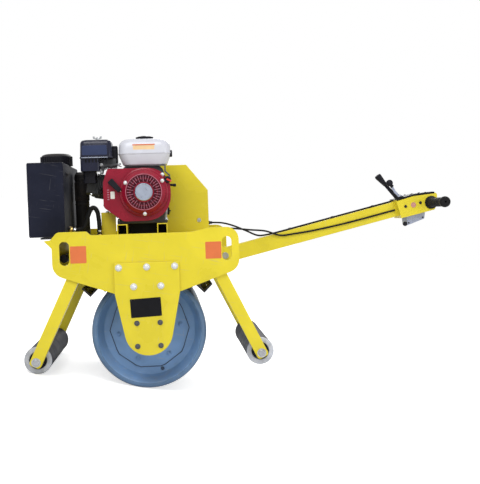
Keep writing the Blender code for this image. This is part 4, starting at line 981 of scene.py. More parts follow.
class ROLLER_OT_engine(bpy.types.Operator):
    """The crankcase, finned cylinder, fan housing, starter and their small parts"""

    bl_idname = "roller.engine"
    bl_label = "Engine"

    def execute(self, context):
        # The block, cylinder head and carburettor below take a dark grey as painted shade.
        skin("engine_block", 0.003, material="shaded_casting", segments=3)
        self.block_details()
        self.cylinder()
        self.fan_housing()
        self.starter()
        self.switch()
        self.linkage()
        self.silencer()
        return {"FINISHED"}

    def block_details(self):
        """Foot bolts, ribs, oil filler, and the stay and spacer by the deck."""
        low = level_box("engine_block")[0]
        feet, ribs, plug = drawings(3)
        for x in (-0.104, 0.076):
            for y in (low.y + 0.016, -0.020):
                hex_bolt(feet, Matrix.Translation((x, y, low.z + 0.012)), 0.013, 0.007)
        for y in (-0.096, -0.060, -0.024, 0.012, 0.048):
            flat(ribs, [(-0.096, 0.413), (0.068, 0.413), (0.074, 0.425), (0.086, 0.500), (0.090, 0.500),
                        (0.079, 0.415), (0.079, 0.4125), (-0.098, 0.4125)], y, y + 0.004)
        place = looking("back", 0.0735, -0.060, 0.446)
        turned(plug, [(0.013, -0.008), (0.013, 0.010), (0.016, 0.011), (0.016, 0.016), (0.009, 0.018),
                      (0.0, 0.018)], place, 28)
        brick(plug, -0.012, 0.012, -0.0025, 0.0025, 0.015, 0.023, place)
        flank, belly, stay, stay_bolt = drawings(4)
        flat(flank, softened([(-0.158, 0.492, 0.004), (-0.104, 0.446, 0.004), (-0.104, 0.424, 0.003),
                              (-0.114, 0.424, 0.003), (-0.168, 0.474, 0.006)]), -0.070, 0.020)
        brick(belly, -0.116, 0.076, 0.002, 0.006, DECK_TOP + 0.001, low.z - 0.001)
        flat(stay, [(-0.174, DECK_TOP), (-0.118, DECK_TOP), (-0.118, 0.440), (-0.128, 0.447),
                    (-0.174, 0.447)], -0.092, -0.088)
        flat(stay, [(-0.174, 0.443), (-0.128, 0.443), (-0.128, 0.447), (-0.174, 0.447)], -0.090, -0.040)
        flat(stay, [(-0.174, DECK_TOP), (-0.118, DECK_TOP), (-0.118, DECK_TOP + 0.004),
                    (-0.174, DECK_TOP + 0.004)], -0.090, -0.040)
        dome_bolt(stay_bolt, Matrix.Translation((-0.150, -0.078, 0.447)), 0.0065, 0.0045)
        piece("crankcase_flank", flank, "cast_aluminium", edge=0.0015)
        piece("rail_spacer", belly, "black_steel", edge=0.0006)
        piece("deck_stay", stay, "body_paint", edge=0.0006)
        piece("deck_stay_bolt", stay_bolt, "white_bolt")
        piece("engine_foot_bolts", feet, "zinc", edge=0.0004)
        piece("engine_block_ribs", ribs, "cast_aluminium", edge=0.0008)
        piece("oil_filler", plug, "black_plastic", edge=0.0008)

    def cylinder(self):
        """A core and cover with cooling fins across the cylinder's axis."""
        tilt, start, end, half = math.radians(10), 0.102, 0.226, 0.048
        place = Matrix.Translation((SHAFT_X, 0, SHAFT_Z)) @ Matrix.Rotation(tilt, 4, "Y")
        spin = place @ Matrix(((0, 0, -1, 0), (0, 1, 0, 0), (1, 0, 0, 0), (0, 0, 0, 1)))
        bm = bmesh.new()
        core = rect(-half + 0.010, half - 0.010, -0.075, 0.035, 0.008)
        prism(bm, core, start + 0.0004, end - 0.030, spin)
        fin = rect(-half, half, -0.085, 0.045, 0.010)
        level = start + 0.004
        while level < end - 0.036:
            prism(bm, fin, level, level + 0.0026, spin)
            level += 0.0072
        cover = rect(-half + 0.004, half - 0.006, -0.078, 0.038, 0.016)
        prism(bm, cover, end - 0.031, end - 0.026, spin)
        smaller = [(x * 0.88, (y + 0.02) * 0.90 - 0.02) for x, y in cover]
        prism(bm, smaller, end - 0.0265, end - 0.002, spin)
        stand_for(piece("cylinder_head_finished", bm, "shaded_casting", edge=0.0006), "cylinder_head")
        bolts = bmesh.new()
        for u, v in ((-0.035, -0.066), (0.033, -0.066), (0.033, 0.026), (-0.035, 0.026)):
            hex_bolt(bolts, spin @ Matrix.Translation((u, v, end - 0.0262)), 0.009, 0.005)
        piece("cylinder_bolts", bolts, "zinc", edge=0.0003)
        plug = bmesh.new()
        seat = spin @ Matrix.Translation((-0.020, -0.0775, end - 0.060)) @ turn_by(90, "X")
        turned(plug, [(0.0095, -0.001), (0.0095, 0.006), (0.0065, 0.008), (0.0065, 0.016), (0.0055, 0.030),
                      (0.0, 0.030)], seat, 24)
        piece("spark_plug", plug, "label_white")
        cap = bmesh.new()
        turned(cap, [(0.0085, 0.016), (0.0100, 0.018), (0.0100, 0.042), (0.0070, 0.048), (0.0, 0.048)], seat,
               24)
        tip = seat @ Vector((0, 0, 0.044))
        lead = smooth_line([tip, tip + Vector((0.004, -0.006, 0.010)), tip + Vector((0.030, 0.004, 0.030)),
                            Vector((-0.130, -0.100, 0.606)), Vector((-0.112, -0.112, 0.600))], 8)
        tube(cap, lead, 0.0032, 10)
        piece("spark_plug_cap", cap, "rubber", smooth=50)

    def fan_housing(self):
        """The pressed housing with the starter's grille, hub, bolts, label and vents."""
        face = level_box("recoil_cover")[0].y
        step = face + HOUSING_STEP
        skin("recoil_cover", 0.0045, segments=4, smooth=40)
        ring = bmesh.new()
        turned(ring, [(0.0800, -0.001), (0.0935, 0.0), (0.0935, 0.007), (0.0915, 0.010), (0.0860, 0.012),
                      (0.0800, 0.012)], looking("left", SHAFT_X, step, SHAFT_Z), 96, loop=True)
        front = looking("left", SHAFT_X, face, SHAFT_Z)
        ribs = ((0.0345, 0.0385, 0.0030), (0.0515, 0.0535, 0.0026), (0.0655, 0.0695, 0.0034))
        for inner, outer, height in ribs:
            turned(ring, [(inner, -0.0005), (outer, -0.0005), (outer, height * 0.7), (outer - 0.0008, height),
                          (inner + 0.0008, height), (inner, height * 0.7)], front, 96, loop=True)
        # The raised bars and the thin ring round them are pale as painted highlights on their edges.
        marks = bmesh.new()
        for k, spoke in enumerate(around(front, 36)):
            brick(marks, 0.0400 if k % 2 else 0.0480, 0.0640, -0.0008, 0.0008, -0.0004, 0.0026, spoke)
        turned(marks, [(0.0672, 0.0004), (0.0690, 0.0004), (0.0690, 0.0040), (0.0672, 0.0040)], front, 96,
               loop=True)
        piece("starter_grille_bars", marks, "painted_edge_highlight", edge=0.0002)
        piece("starter_grille", ring, "starter_paint", edge=0.0005)
        dark = bmesh.new()
        turned(dark, [(0.0670, -0.0004), (0.0670, 0.0006), (0.0330, 0.0006), (0.0330, -0.0004)], front, 96,
               loop=True)
        piece("starter_grille_shadow", dark, "starter_shade")
        hub = bmesh.new()
        turned(hub, [(0.0335, -0.0004), (0.0335, 0.0040), (0.0315, 0.0058), (0.0290, 0.0060),
                     (0.0280, 0.0050), (0.0, 0.0050)], front, 72)
        piece("starter_hub", hub, "hub_metal")
        bolts = bmesh.new()
        for x, z in ((-0.073, 0.557), (0.067, 0.561), (-0.003, 0.437), (0.068, 0.586)):
            base = step if math.hypot(x - SHAFT_X, z - SHAFT_Z) > 0.088 else face
            dome_bolt(bolts, looking("left", x, base, z), 0.0062, 0.0042)
        piece("starter_cover_bolts", bolts, "white_bolt")
        label = bmesh.new()
        prism(label, rect(-0.008, 0.008, -0.014, 0.014, 0.002),
              -0.0001, 0.0007, looking("left", -0.1245, step, 0.512))
        piece("fan_housing_label", label, "label_white", edge=0.0002)
        # The vent fins take the same pale colour as painted highlights.
        fins = bmesh.new()
        for k in range(5):
            z = 0.494 + 0.009 * k
            brick(fins, -0.1445, -0.1375, step - 0.0022, step + 0.0005, z, z + 0.0042)
        piece("fan_housing_vents", fins, "painted_edge_highlight", edge=0.0006)

    def starter(self):
        """The starter's grip with its rope and guide."""
        skin("starter_grip", 0.0022, segments=3)
        rope, guide = drawings(2)
        face = level_box("starter_grip")[1].y
        tip, foot = Vector((-0.094, face - 0.010, 0.527)), Vector((-0.084, face - 0.008, 0.521))
        tube(rope, [tip, tip.lerp(foot, 0.5), foot], 0.0022, 10)
        turned(guide, [(0.0026, -0.002), (0.0072, -0.003), (0.0078, 0.0), (0.0078, 0.008), (0.0026, 0.010)],
               pointing(foot, foot - tip), 24, loop=True)
        piece("starter_rope", rope, "label_white")
        piece("starter_rope_guide", guide, "black_plastic")

    def switch(self):
        """The engine switch, the throttle stop and the tank's bracket on the right."""
        step = level_box("recoil_cover")[0].y + HOUSING_STEP
        body, lever, stub, bracket = drawings(4)
        place = looking("left", 0.087, step + 0.004, 0.566)
        turned(body, [(0.0135, -0.004), (0.0135, 0.014), (0.0115, 0.017), (0.0, 0.017)], place, 28)
        brick(lever, -0.004, 0.016, -0.0035, 0.0035, 0.0165, 0.0205, place @ turn_by(-28, "Z"))
        turned(stub, [(0.0045, 0.0), (0.0045, 0.024), (0.0062, 0.026), (0.0062, 0.034), (0.0, 0.036)],
               Matrix.Translation((0.084, step + 0.012, 0.547)) @ turn_by(96, "Y"), 20)
        outline = [(-0.070, 0.6245), (0.082, 0.6245), (0.082, 0.600), (0.098, 0.585), (0.098, 0.570),
                   (0.092, 0.570), (0.092, 0.583), (0.076, 0.598), (0.076, 0.6215), (-0.070, 0.6215)]
        flat(bracket, outline, -0.128, -0.112)
        piece("engine_switch", body, "black_plastic", edge=0.0006)
        piece("engine_switch_lever", lever, "switch_red", edge=0.0012, segments=3)
        piece("governor_stub", stub, "rubber")
        piece("fuel_tank_bracket", bracket, "iron", edge=0.0006)

    def linkage(self):
        """Choke and governor levers, rods and springs by the carburettor."""
        low = level_box("carburettor")[0]
        skin("carburettor", 0.002, material="shaded_casting")
        rods, springs, knobs = drawings(3)
        y = low.y - 0.004
        for a, b, lift in (((-0.168, 0.632), (-0.088, 0.622), 0.0),
                           ((-0.160, 0.608), (-0.094, 0.633), -0.006)):
            middle = ((a[0] + b[0]) / 2, y + lift - 0.004, (a[1] + b[1]) / 2 + 0.004)
            line = smooth_line([(a[0], y + lift, a[1]), middle, (b[0], y + lift, b[1])], 6)
            tube(rods, line, 0.0016, 8)
        flat(rods, softened([(-0.172, 0.596, 0.003), (-0.158, 0.596, 0.003), (-0.150, 0.640, 0.004),
                             (-0.164, 0.640, 0.004)]), y - 0.0024, y)
        flat(rods, softened([(-0.176, 0.632, 0.003), (-0.090, 0.636, 0.003), (-0.090, 0.628, 0.003),
                             (-0.176, 0.622, 0.003)]), y - 0.0060, y - 0.0036)
        turns = 11
        coil = [(-0.150 + 0.044 * t / (turns * 10), y - 0.008 + 0.0034 * math.cos(math.tau * t / 10),
                 0.616 + 0.0034 * math.sin(math.tau * t / 10)) for t in range(turns * 10)]
        tube(springs, coil, 0.0007, 6)
        for x, z in ((-0.165, 0.632), (-0.098, 0.630), (-0.166, 0.604)):
            hex_bolt(knobs, looking("left", x, y - 0.0055, z), 0.007, 0.004)
        piece("carburettor_rods", rods, "shaded_casting", edge=0.0003)
        piece("governor_spring", springs, "zinc")
        piece("carburettor_screws", knobs, "zinc", edge=0.0003)
        bowl = bmesh.new()
        place = Matrix.Translation((-0.128, -0.090, low.z + 0.014))
        turned(bowl, [(0.0, -0.030), (0.013, -0.030), (0.0165, -0.026), (0.0165, -0.002), (0.0150, 0.0)],
               place, 32)
        turned(bowl, [(0.0045, -0.036), (0.0045, -0.029)], place, 6)
        piece("carburettor_bowl", bowl, "machined_aluminium", edge=0.0005)

    def silencer(self):
        """The silencer with its slotted shield and its outlet."""
        skin("exhaust_silencer", 0.0015, material="silencer_black")
        low, high = level_box("exhaust_silencer")
        x, y = low.x + 0.028, 0.100
        hoops = bmesh.new()
        place = Matrix.Translation((x, y, low.z))
        tall = high.z - low.z
        for level in (0.020, tall * 0.5, tall - 0.030):
            turned(hoops, [(0.0276, level - 0.003), (0.0292, level - 0.002), (0.0292, level + 0.002),
                           (0.0276, level + 0.003)], place, 48, loop=True)
        for spin in around(place, 40):
            brick(hoops, 0.0270, 0.0298, -0.0010, 0.0010, tall * 0.56, tall * 0.84, spin)
        piece("silencer_shield", hoops, "silencer_black", edge=0.0003)
        tail = bmesh.new()
        tip = looking("right", x, y + 0.024, high.z - 0.045)
        turned(tail, [(0.0085, -0.004), (0.0085, 0.020), (0.0070, 0.020), (0.0070, -0.004)], tip, 28,
               loop=True)
        piece("silencer_outlet", tail, "silencer_black")


def pressed(bm, low, high, levels, corner, step=math.radians(12)):
    """A rounded box that draws in by an inset at each level."""
    solid(bm, [ring_at(bm, rect(low.x + inset, high.x - inset, low.y + inset, high.y - inset, corner, step),
                       level) for level, inset in levels])


class ROLLER_OT_tops(bpy.types.Operator):
    """The fuel tank and the air cleaner on top of the engine"""

    bl_idname = "roller.tops"
    bl_label = "Fuel tank and air cleaner"

    def execute(self, context):
        self.fuel_tank()
        self.fuel_cap()
        self.air_cleaner()
        return {"FINISHED"}

    def fuel_tank(self):
        """A pressed tank: two halves drawn from rounded outlines, joined at a seam."""
        low, high = level_box("fuel_tank")
        seam = low.z + 0.046
        levels = [(low.z + 0.0003, 0.030), (low.z + 0.001, 0.023), (low.z + 0.004, 0.0175),
                  (low.z + 0.010, 0.0150), (seam - 0.012, 0.0055), (seam - 0.003, 0.0032), (seam, 0.0028),
                  (seam + 0.004, 0.0030), (high.z - 0.030, 0.0038), (high.z - 0.016, 0.0058),
                  (high.z - 0.008, 0.0100), (high.z - 0.001, 0.0165), (high.z + 0.0035, 0.0250),
                  (high.z + 0.0055, 0.0360)]
        bm = bmesh.new()
        pressed(bm, low, high, levels, 0.034, CORNER_STEP)
        pressed(bm, low, high, [(seam - 0.0012, 0.0004), (seam + 0.0012, 0.0004)], 0.036, CORNER_STEP)
        stand_for(piece("fuel_tank_finished", bm, "fuel_paint", edge=0.0004, smooth=40), "fuel_tank")
        tap = bmesh.new()
        turned(tap, [(0.0135, -0.006), (0.0135, 0.003), (0.0120, 0.0055), (0.0, 0.0055)],
               looking("back", high.x - 0.002, low.y + 0.042, 0.668), 28)
        piece("fuel_tank_tap", tap, "black_plastic")
        label, patch = drawings(2)
        face = low.y + 0.0040
        tilt = looking("left", 0.0, face, high.z - 0.032) @ turn_by(-1.5, "X")
        prism(label, rect(-0.043, 0.043, 0.0105, 0.0145, 0.001),
              -0.0008, 0.0005, tilt)
        prism(patch, rect(-0.041, 0.041, -0.010, 0.0095, 0.002),
              -0.0008, 0.0004, tilt)
        piece("fuel_tank_label_line", label, "sticker_orange", edge=0.0001)
        piece("fuel_tank_label", patch, "label_beige", edge=0.0001)

    def fuel_cap(self):
        """The fuel tank's ribbed cap."""
        low, high = level_box("fuel_cap")
        x, y = (low.x + high.x) / 2, (low.y + high.y) / 2
        radius, tall = (high.x - low.x) / 2, high.z - low.z
        place = Matrix.Translation((x, y, low.z + 0.004))
        bm = bmesh.new()
        turned(bm, [(radius - 0.004, 0.0), (radius - 0.004, tall - 0.004), (radius - 0.008, tall - 0.001),
                    (0.016, tall), (0.0, tall)], place, 64)
        for spin in around(place, 18):
            brick(bm, radius - 0.008, radius, -0.0034, 0.0034, 0.001, tall - 0.003, spin)
        stand_for(piece("fuel_cap_finished", bm, "black_plastic", edge=0.0008), "fuel_cap")
        top = bmesh.new()
        turned(top, [(0.0150, tall - 0.0003), (0.0150, tall + 0.0008), (0.0140, tall + 0.0014),
                     (0.0, tall + 0.0018)], place, 48)
        piece("fuel_cap_centre", top, "machined_aluminium")

    def air_cleaner(self):
        """The cover with its seam and wing nut, over its base and elbow."""
        low, high = level_box("air_cleaner")
        bm = bmesh.new()
        levels = [(0.6553, 0.0060), (0.6558, 0.0026), (0.6602, 0.0020), (0.6610, 0.0040),
                  (high.z - 0.014, 0.0058), (high.z - 0.006, 0.0085), (high.z - 0.002, 0.0130),
                  (high.z, 0.0200)]
        pressed(bm, low, high, levels, 0.016)
        base = rect(-0.2435, -0.1705, -0.1395, -0.0255, 0.010)
        prism(bm, base, low.z, 0.657)
        stand_for(piece("air_cleaner_finished", bm, "cleaner_navy", edge=0.0010, smooth=40), "air_cleaner")
        elbow = bmesh.new()
        for level, deeper in ((0.561, 0.0), (0.575, 0.002), (0.589, 0.0), (0.603, 0.002)):
            prism(elbow, rect(-0.236 + deeper, -0.186 - deeper, -0.118, -0.040, 0.008), level, level + 0.0139)
        piece("air_cleaner_elbow", elbow, "black_plastic", edge=0.0008)
        panel, lip, snout = drawings(3)
        face = softened([(-0.236, 0.668, 0.004), (-0.140, 0.668, 0.004), (-0.141, 0.705, 0.005),
                         (-0.235, 0.705, 0.005)])
        prism(panel, face, -0.001, 0.0010, looking("left", 0, low.y + 0.0050, 0))
        # A thin ledge along the cover's seam, pale as a painted highlight.
        prism(lip, rect(-0.238, -0.138, 0.6568, 0.6594, 0.001),
              -0.001, 0.0010, looking("left", 0, low.y + 0.0024, 0))
        brick(snout, -0.130, -0.1035, -0.092, -0.030, 0.634, 0.704)
        brick(snout, -0.134, -0.1060, -0.100, -0.084, 0.646, 0.692)
        piece("air_cleaner_panel", panel, "cleaner_panel", edge=0.0006)
        piece("air_cleaner_seam_highlight", lip, "hub_metal", edge=0.0003)
        piece("air_cleaner_snout", snout, "black_plastic", edge=0.0025, segments=3)
        nut, slots = drawings(2)
        place = Matrix.Translation((-0.179, (low.y + high.y) / 2, high.z))
        turned(nut, [(0.013, -0.0004), (0.013, 0.0020), (0.0065, 0.0028), (0.0065, 0.010), (0.004, 0.013),
                     (0.0, 0.013)], place, 24)
        for side in (-1, 1):
            corners = ((0.004, 0.004, 0.001), (0.017, 0.008, 0.002), (0.018, 0.017, 0.003),
                       (0.011, 0.017, 0.003))
            wing = softened([(side * x, y, radius) for x, y, radius in corners])
            prism(nut, wing, -0.0012, 0.0012, place @ turn_by(90, "X"))
        piece("air_cleaner_wing_nut", nut, "zinc", edge=0.0004)
        for k in range(7):
            x = -0.225 + 0.013 * k
            brick(slots, x, x + 0.006, low.y + 0.0095, low.y + 0.0125, 0.640, 0.652)
        piece("air_cleaner_slots", slots, "plate_black")


# ---------------------------------------------------------------- belt guard

class ROLLER_OT_guard(bpy.types.Operator):
    """The folded belt guard with its louvres, foot flanges and fixings"""

    bl_idname = "roller.guard"
    bl_label = "Belt guard"

    def execute(self, context):
        edge = detail_of(context).edge
        skin("belt_guard", edge * 1.6, segments=3)
        low, high = level_box("belt_guard")
        fixings, feet, louvres = drawings(3)
        for x in (-0.040, 0.100, 0.232):
            dome_bolt(fixings, looking("right", x, high.y, low.z + 0.030), 0.0055, 0.0035)
        hex_bolt(fixings, looking("left", 0.212, low.y, 0.404), 0.010, 0.005)
        for y in (low.y - 0.0004, high.y - 0.0216):
            prism(feet, [(low.x + 0.010, y), (high.x - 0.010, y), (high.x - 0.010, y + 0.022),
                         (low.x + 0.010, y + 0.022)], low.z - 0.0002, low.z + 0.0022)
        for k in range(6):
            self.louvre(louvres, looking("right", 0.060, high.y, 0.520 - 0.018 * k), 0.110)
        piece("guard_bolts", fixings, "zinc")
        piece("guard_foot_flanges", feet, "black_steel", edge=0.0005)
        piece("guard_louvres", louvres, "body_paint", edge=0.0008, smooth=50)
        return {"FINISHED"}

    def louvre(self, bm, place, width):
        """A pressed slot cover with one open side."""
        outline = [(0.0, 0.0008), (0.0090, 0.0008), (0.0090, -0.0006), (0.0070, -0.0030), (0.0030, -0.0046),
                   (0.0, -0.0048), (0.0, -0.0036), (0.0028, -0.0034)]
        spin = place @ Matrix(((0, 0, 1, 0), (-1, 0, 0, 0), (0, -1, 0, 0), (0, 0, 0, 1)))
        prism(bm, outline, -width / 2, width / 2, spin)


# ---------------------------------------------------------------- handle

def on_handle(along, up, y=0.0):
    """A point along and above the handle tube's middle line, from the pivot."""
    cos, sin = math.cos(HANDLE_SLOPE), math.sin(HANDLE_SLOPE)
    return Vector((PIVOT.x + along * cos - up * sin, y, PIVOT.z + along * sin + up * cos))


class ROLLER_OT_handle(bpy.types.Operator):
    """The folding handle with its bracket, head, levers and grips"""

    bl_idname = "roller.handle"
    bl_label = "Handle"

    def execute(self, context):
        edge = detail_of(context).edge
        skin("handle_tube", edge * 2.6, segments=3)
        skin("handle_bracket", edge * 1.4)
        skin("handle_pin", 0.0010)
        skin("handle_head", edge * 0.9)
        skin("head_cover", edge * 0.8, material="plate_black")
        skin("grip_bar", 0.0006)
        self.welds()
        self.head_details()
        self.levers()
        for side in (-1, 1):
            self.grip(side)
        self.box_details()
        self.tube_details()
        return {"FINISHED"}

    def welds(self):
        frame_beads, handle_beads = drawings(2)
        low, high = level_box("handle_bracket")
        x = low.x + 0.0015
        for side in (-1, 1):
            y = side * (high.y + 0.0006)
            weld(frame_beads, [(x, y, low.z + 0.004), (x, y, PIVOT.z + 0.040)], 0.0032)
        piece("bracket_welds", frame_beads, "body_paint", smooth=60)
        along = 0.712
        for y in (-0.0312, 0.0312):
            weld(handle_beads, [on_handle(along, -0.026, y), on_handle(along, 0.028, y)], 0.0026)
        weld(handle_beads, [on_handle(along, 0.0305, -0.028), on_handle(along, 0.0305, 0.028)], 0.0022)
        piece("head_welds", handle_beads, "body_paint", "handle", smooth=60)

    def head_details(self):
        """Screws, plugs, a dark band along the upper edge and grip collars on the handle's head."""
        low, high = level_box("handle_head")
        screws, spot = drawings(2)
        for word, y in (("left", low.y), ("right", high.y)):
            for x, z in ((1.037, 0.433), (1.098, 0.446)):
                screw(screws, looking(word, x, y, z, 0.4), 0.0058, 0.0030)
            turned(spot, [(0.0105, -0.0002), (0.0105, 0.0014), (0.0095, 0.0022), (0.0, 0.0024)],
                   looking(word, 1.069, y, 0.438), 36)
        piece("head_screws", screws, "black_steel", "handle")
        piece("head_plugs", spot, "copper_rose", "handle")
        cover = bmesh.new()
        leaning = Matrix.Rotation(-math.atan2(0.008, 0.075), 4, "Y")
        for x in (1.062, 1.092, 1.122):
            place = Matrix.Translation((x, 0.0, 0.4815 + (x - 1.070) * 0.107)) @ leaning
            for y in (-0.048, 0.048):
                screw(cover, place @ Matrix.Translation((0, y, 0)), 0.0036, 0.0020)
        piece("head_cover_screws", cover, "black_steel", "handle")
        # A dark band along the upper edge of each side of the head.
        dark_edge = bmesh.new()
        band = [(x, z - 0.0045) for x, z in HEAD_TOP] + [(x, z + 0.0028) for x, z in HEAD_TOP[::-1]]
        for y in (-high.y, high.y):
            flat(dark_edge, band, y - 0.0010, y + 0.0010)
        piece("head_top_dark_band", dark_edge, "plate_black", "handle", edge=0.0003)
        collar = bmesh.new()
        for side in (-1, 1):
            y = side * (high.y + 0.0002)
            turned(collar, [(0.0200, -0.0006), (0.0200, 0.0), (0.0190, 0.0002)],
                   looking(side_word(side), GRIP_AT[0], y, GRIP_AT[1]), 32)
        piece("grip_collars", collar, "black_steel", "handle")

    def levers(self):
        """Two flat levers with a tapered grip and a ball, and their boots."""
        skin("drive_lever", 0.0007, material="black_steel")
        skin("throttle_lever", 0.0006, material="control_grey")
        grip = bmesh.new()
        start, end = Vector((0.9665, -0.018, 0.5215)), Vector((0.9335, -0.018, 0.5620))
        place, reach = pointing(start, end - start), (end - start).length
        profile = [(0.0, -0.001), (0.0064, -0.001), (0.0078, 0.002)]
        for k in range(8):
            level = 0.006 + k * (reach - 0.014) / 8
            wide = 0.0078 + 0.0056 * (k + 0.5) / 8
            profile += [(wide, level), (wide + 0.0005, level + 0.0012), (wide + 0.0005, level + 0.0032),
                        (wide, level + 0.0044)]
        profile += [(0.0134, reach - 0.004), (0.0118, reach - 0.001), (0.0080, reach + 0.0006),
                    (0.0, reach + 0.001)]
        turned(grip, profile, place, 32)
        piece("drive_lever_grip", grip, "black_plastic", "handle")
        sleeve = bmesh.new()
        flat(sleeve, softened([(1.0215, 0.4665, 0.003), (1.0095, 0.4600, 0.003), (0.9620, 0.5180, 0.002),
                               (0.9700, 0.5245, 0.002)]), -0.0222, -0.0138)
        piece("drive_lever_sleeve", sleeve, "black_plastic", "handle", edge=0.0012)
        ball = bmesh.new()
        spin = Matrix.Translation((0.977, -0.047, 0.529)) @ turn_by(-36, "Y")
        turned(ball, [(0.0, -BALL)] + arc(BALL, range(-75, 90, 15)) + [(0.0, BALL)], spin, 36)
        turned(ball, [(0.0064, -0.0200), (0.0070, -0.0188), (0.0070, -0.0120), (0.0060, -0.0100)], spin, 24)
        piece("throttle_lever_ball", ball, "black_plastic", "handle")
        boots, nuts = drawings(2)
        (x0, z0), (x1, z1) = HEAD_TOP[:2]
        tilt = math.atan2(z1 - z0, x1 - x0)
        for x, y in ((1.024, -0.018), (1.018, -0.047)):
            top = z0 + (x - x0) * math.tan(tilt) + 0.0036
            place = Matrix.Translation((x, y, top)) @ Matrix.Rotation(-tilt, 4, "Y")
            outline = rect(-0.015, 0.015, -0.0085, 0.0085, 0.004)
            for level, size in ((0.0, 1.0), (0.0018, 0.88), (0.0036, 0.76), (0.0054, 0.64)):
                prism(boots, scaled(outline, size), level - 0.0002, level + 0.0019, place)
            dome_bolt(nuts, looking("left", x - 0.002, y - 0.0026, place.translation.z + 0.0105), 0.0036,
                      0.0024)
        piece("lever_boots", boots, "rubber", "handle", edge=0.0006)
        piece("lever_bolts", nuts, "zinc", "handle")

    def grip(self, side):
        """A moulded grip: flange, ribbed barrel and bulged end."""
        word = side_word(side)
        low, high = level_box(f"grip_{word}")
        start = low.y if side > 0 else -high.y
        reach = high.y - low.y
        bore = 0.0128
        profile = [(bore, 0.0), (0.0250, 0.0), (0.0260, 0.0012), (0.0260, 0.0048), (0.0250, 0.0062),
                   (0.0215, 0.0085), (0.0180, 0.0140)]
        level = 0.020
        while level < reach - 0.038:
            profile += [(0.0173, level), (0.0180, level + 0.0012), (0.0180, level + 0.0040),
                        (0.0173, level + 0.0050)]
            level += 0.0072
        profile += [(0.0180, reach - 0.032), (0.0207, reach - 0.020), (0.0212, reach - 0.012),
                    (0.0205, reach - 0.005), (0.0170, reach - 0.0008), (0.0110, reach), (0.0045, reach),
                    (0.0040, reach - 0.001), (0.0040, reach - 0.008), (bore, reach - 0.008)]
        bm = bmesh.new()
        place = looking(word, GRIP_AT[0], side * start, GRIP_AT[1])
        turned(bm, profile, place, 56, loop=True)
        stand_for(piece(f"grip_{word}_finished", bm, "rubber", "handle", smooth=40), f"grip_{word}")

    def box_details(self):
        """The grey box under the head, with its screws and the knob at its front end."""
        case, screws, knob = drawings(3)
        flat(case, softened([(1.0442, 0.3912, 0.001), (1.1225, 0.4090, 0.001), (1.1185, 0.3815, 0.003),
                             (1.0475, 0.3560, 0.003)]), -0.038, 0.038)
        stand_for(piece("control_box_finished", case, "control_grey", "handle", edge=0.0012), "control_box")
        for word, y in (("left", -0.038), ("right", 0.038)):
            for x, z in ((1.054, 0.366), (1.112, 0.387)):
                screw(screws, looking(word, x, y, z, 0.3), 0.0032, 0.0018)
        turned(knob, [(0.0075, -0.001), (0.0090, 0.001), (0.0090, 0.008), (0.0070, 0.0105), (0.0, 0.0105)],
               looking("left", 1.0395, -0.030, 0.3625), 28)
        brick(knob, 1.0385, 1.0500, -0.034, -0.024, 0.3595, 0.3655)
        piece("box_screws", screws, "black_steel", "handle")
        piece("box_knob", knob, "black_plastic", "handle", edge=0.0006)

    def tube_details(self):
        """Clips that hold the two cables to the tube."""
        clips, bolts = drawings(2)
        for along in (0.28, 0.46, 0.63):
            place = Matrix.Translation(on_handle(along, 0.0340, -0.014))
            tilt = place @ Matrix.Rotation(-HANDLE_SLOPE, 4, "Y")
            outline = [(0.0112, -0.0036), (0.0112, -0.0024), (0.0050, -0.0024)]
            outline += arc(0.0048, range(0, 181, 20))
            outline += [(-0.0050, -0.0024), (-0.0056, -0.0038), (-0.0040, -0.0038)]
            outline += arc(0.0038, range(180, -1, -20)) + [(0.0042, -0.0038)]
            spin = tilt @ Matrix(((0, 0, 1, 0), (1, 0, 0, 0), (0, 1, 0, 0), (0, 0, 0, 1)))
            prism(clips, outline, -0.0052, 0.0052, spin)
            turned(bolts, [(0.0028, -0.0002), (0.0028, 0.0014), (0.0018, 0.0020), (0.0, 0.0020)],
                   tilt @ Matrix.Translation((0, 0.0085, -0.0024)), 16)
        piece("cable_clips", clips, "black_steel", "handle", edge=0.0002)
        piece("cable_clip_bolts", bolts, "zinc", "handle")


# ---------------------------------------------------------------- cables

def tube_top(x, above):
    """The height of a point above the handle tube's upper face."""
    return PIVOT.z + (x - PIVOT.x) * math.tan(HANDLE_SLOPE) + (TUBE_HALF + above) / math.cos(HANDLE_SLOPE)


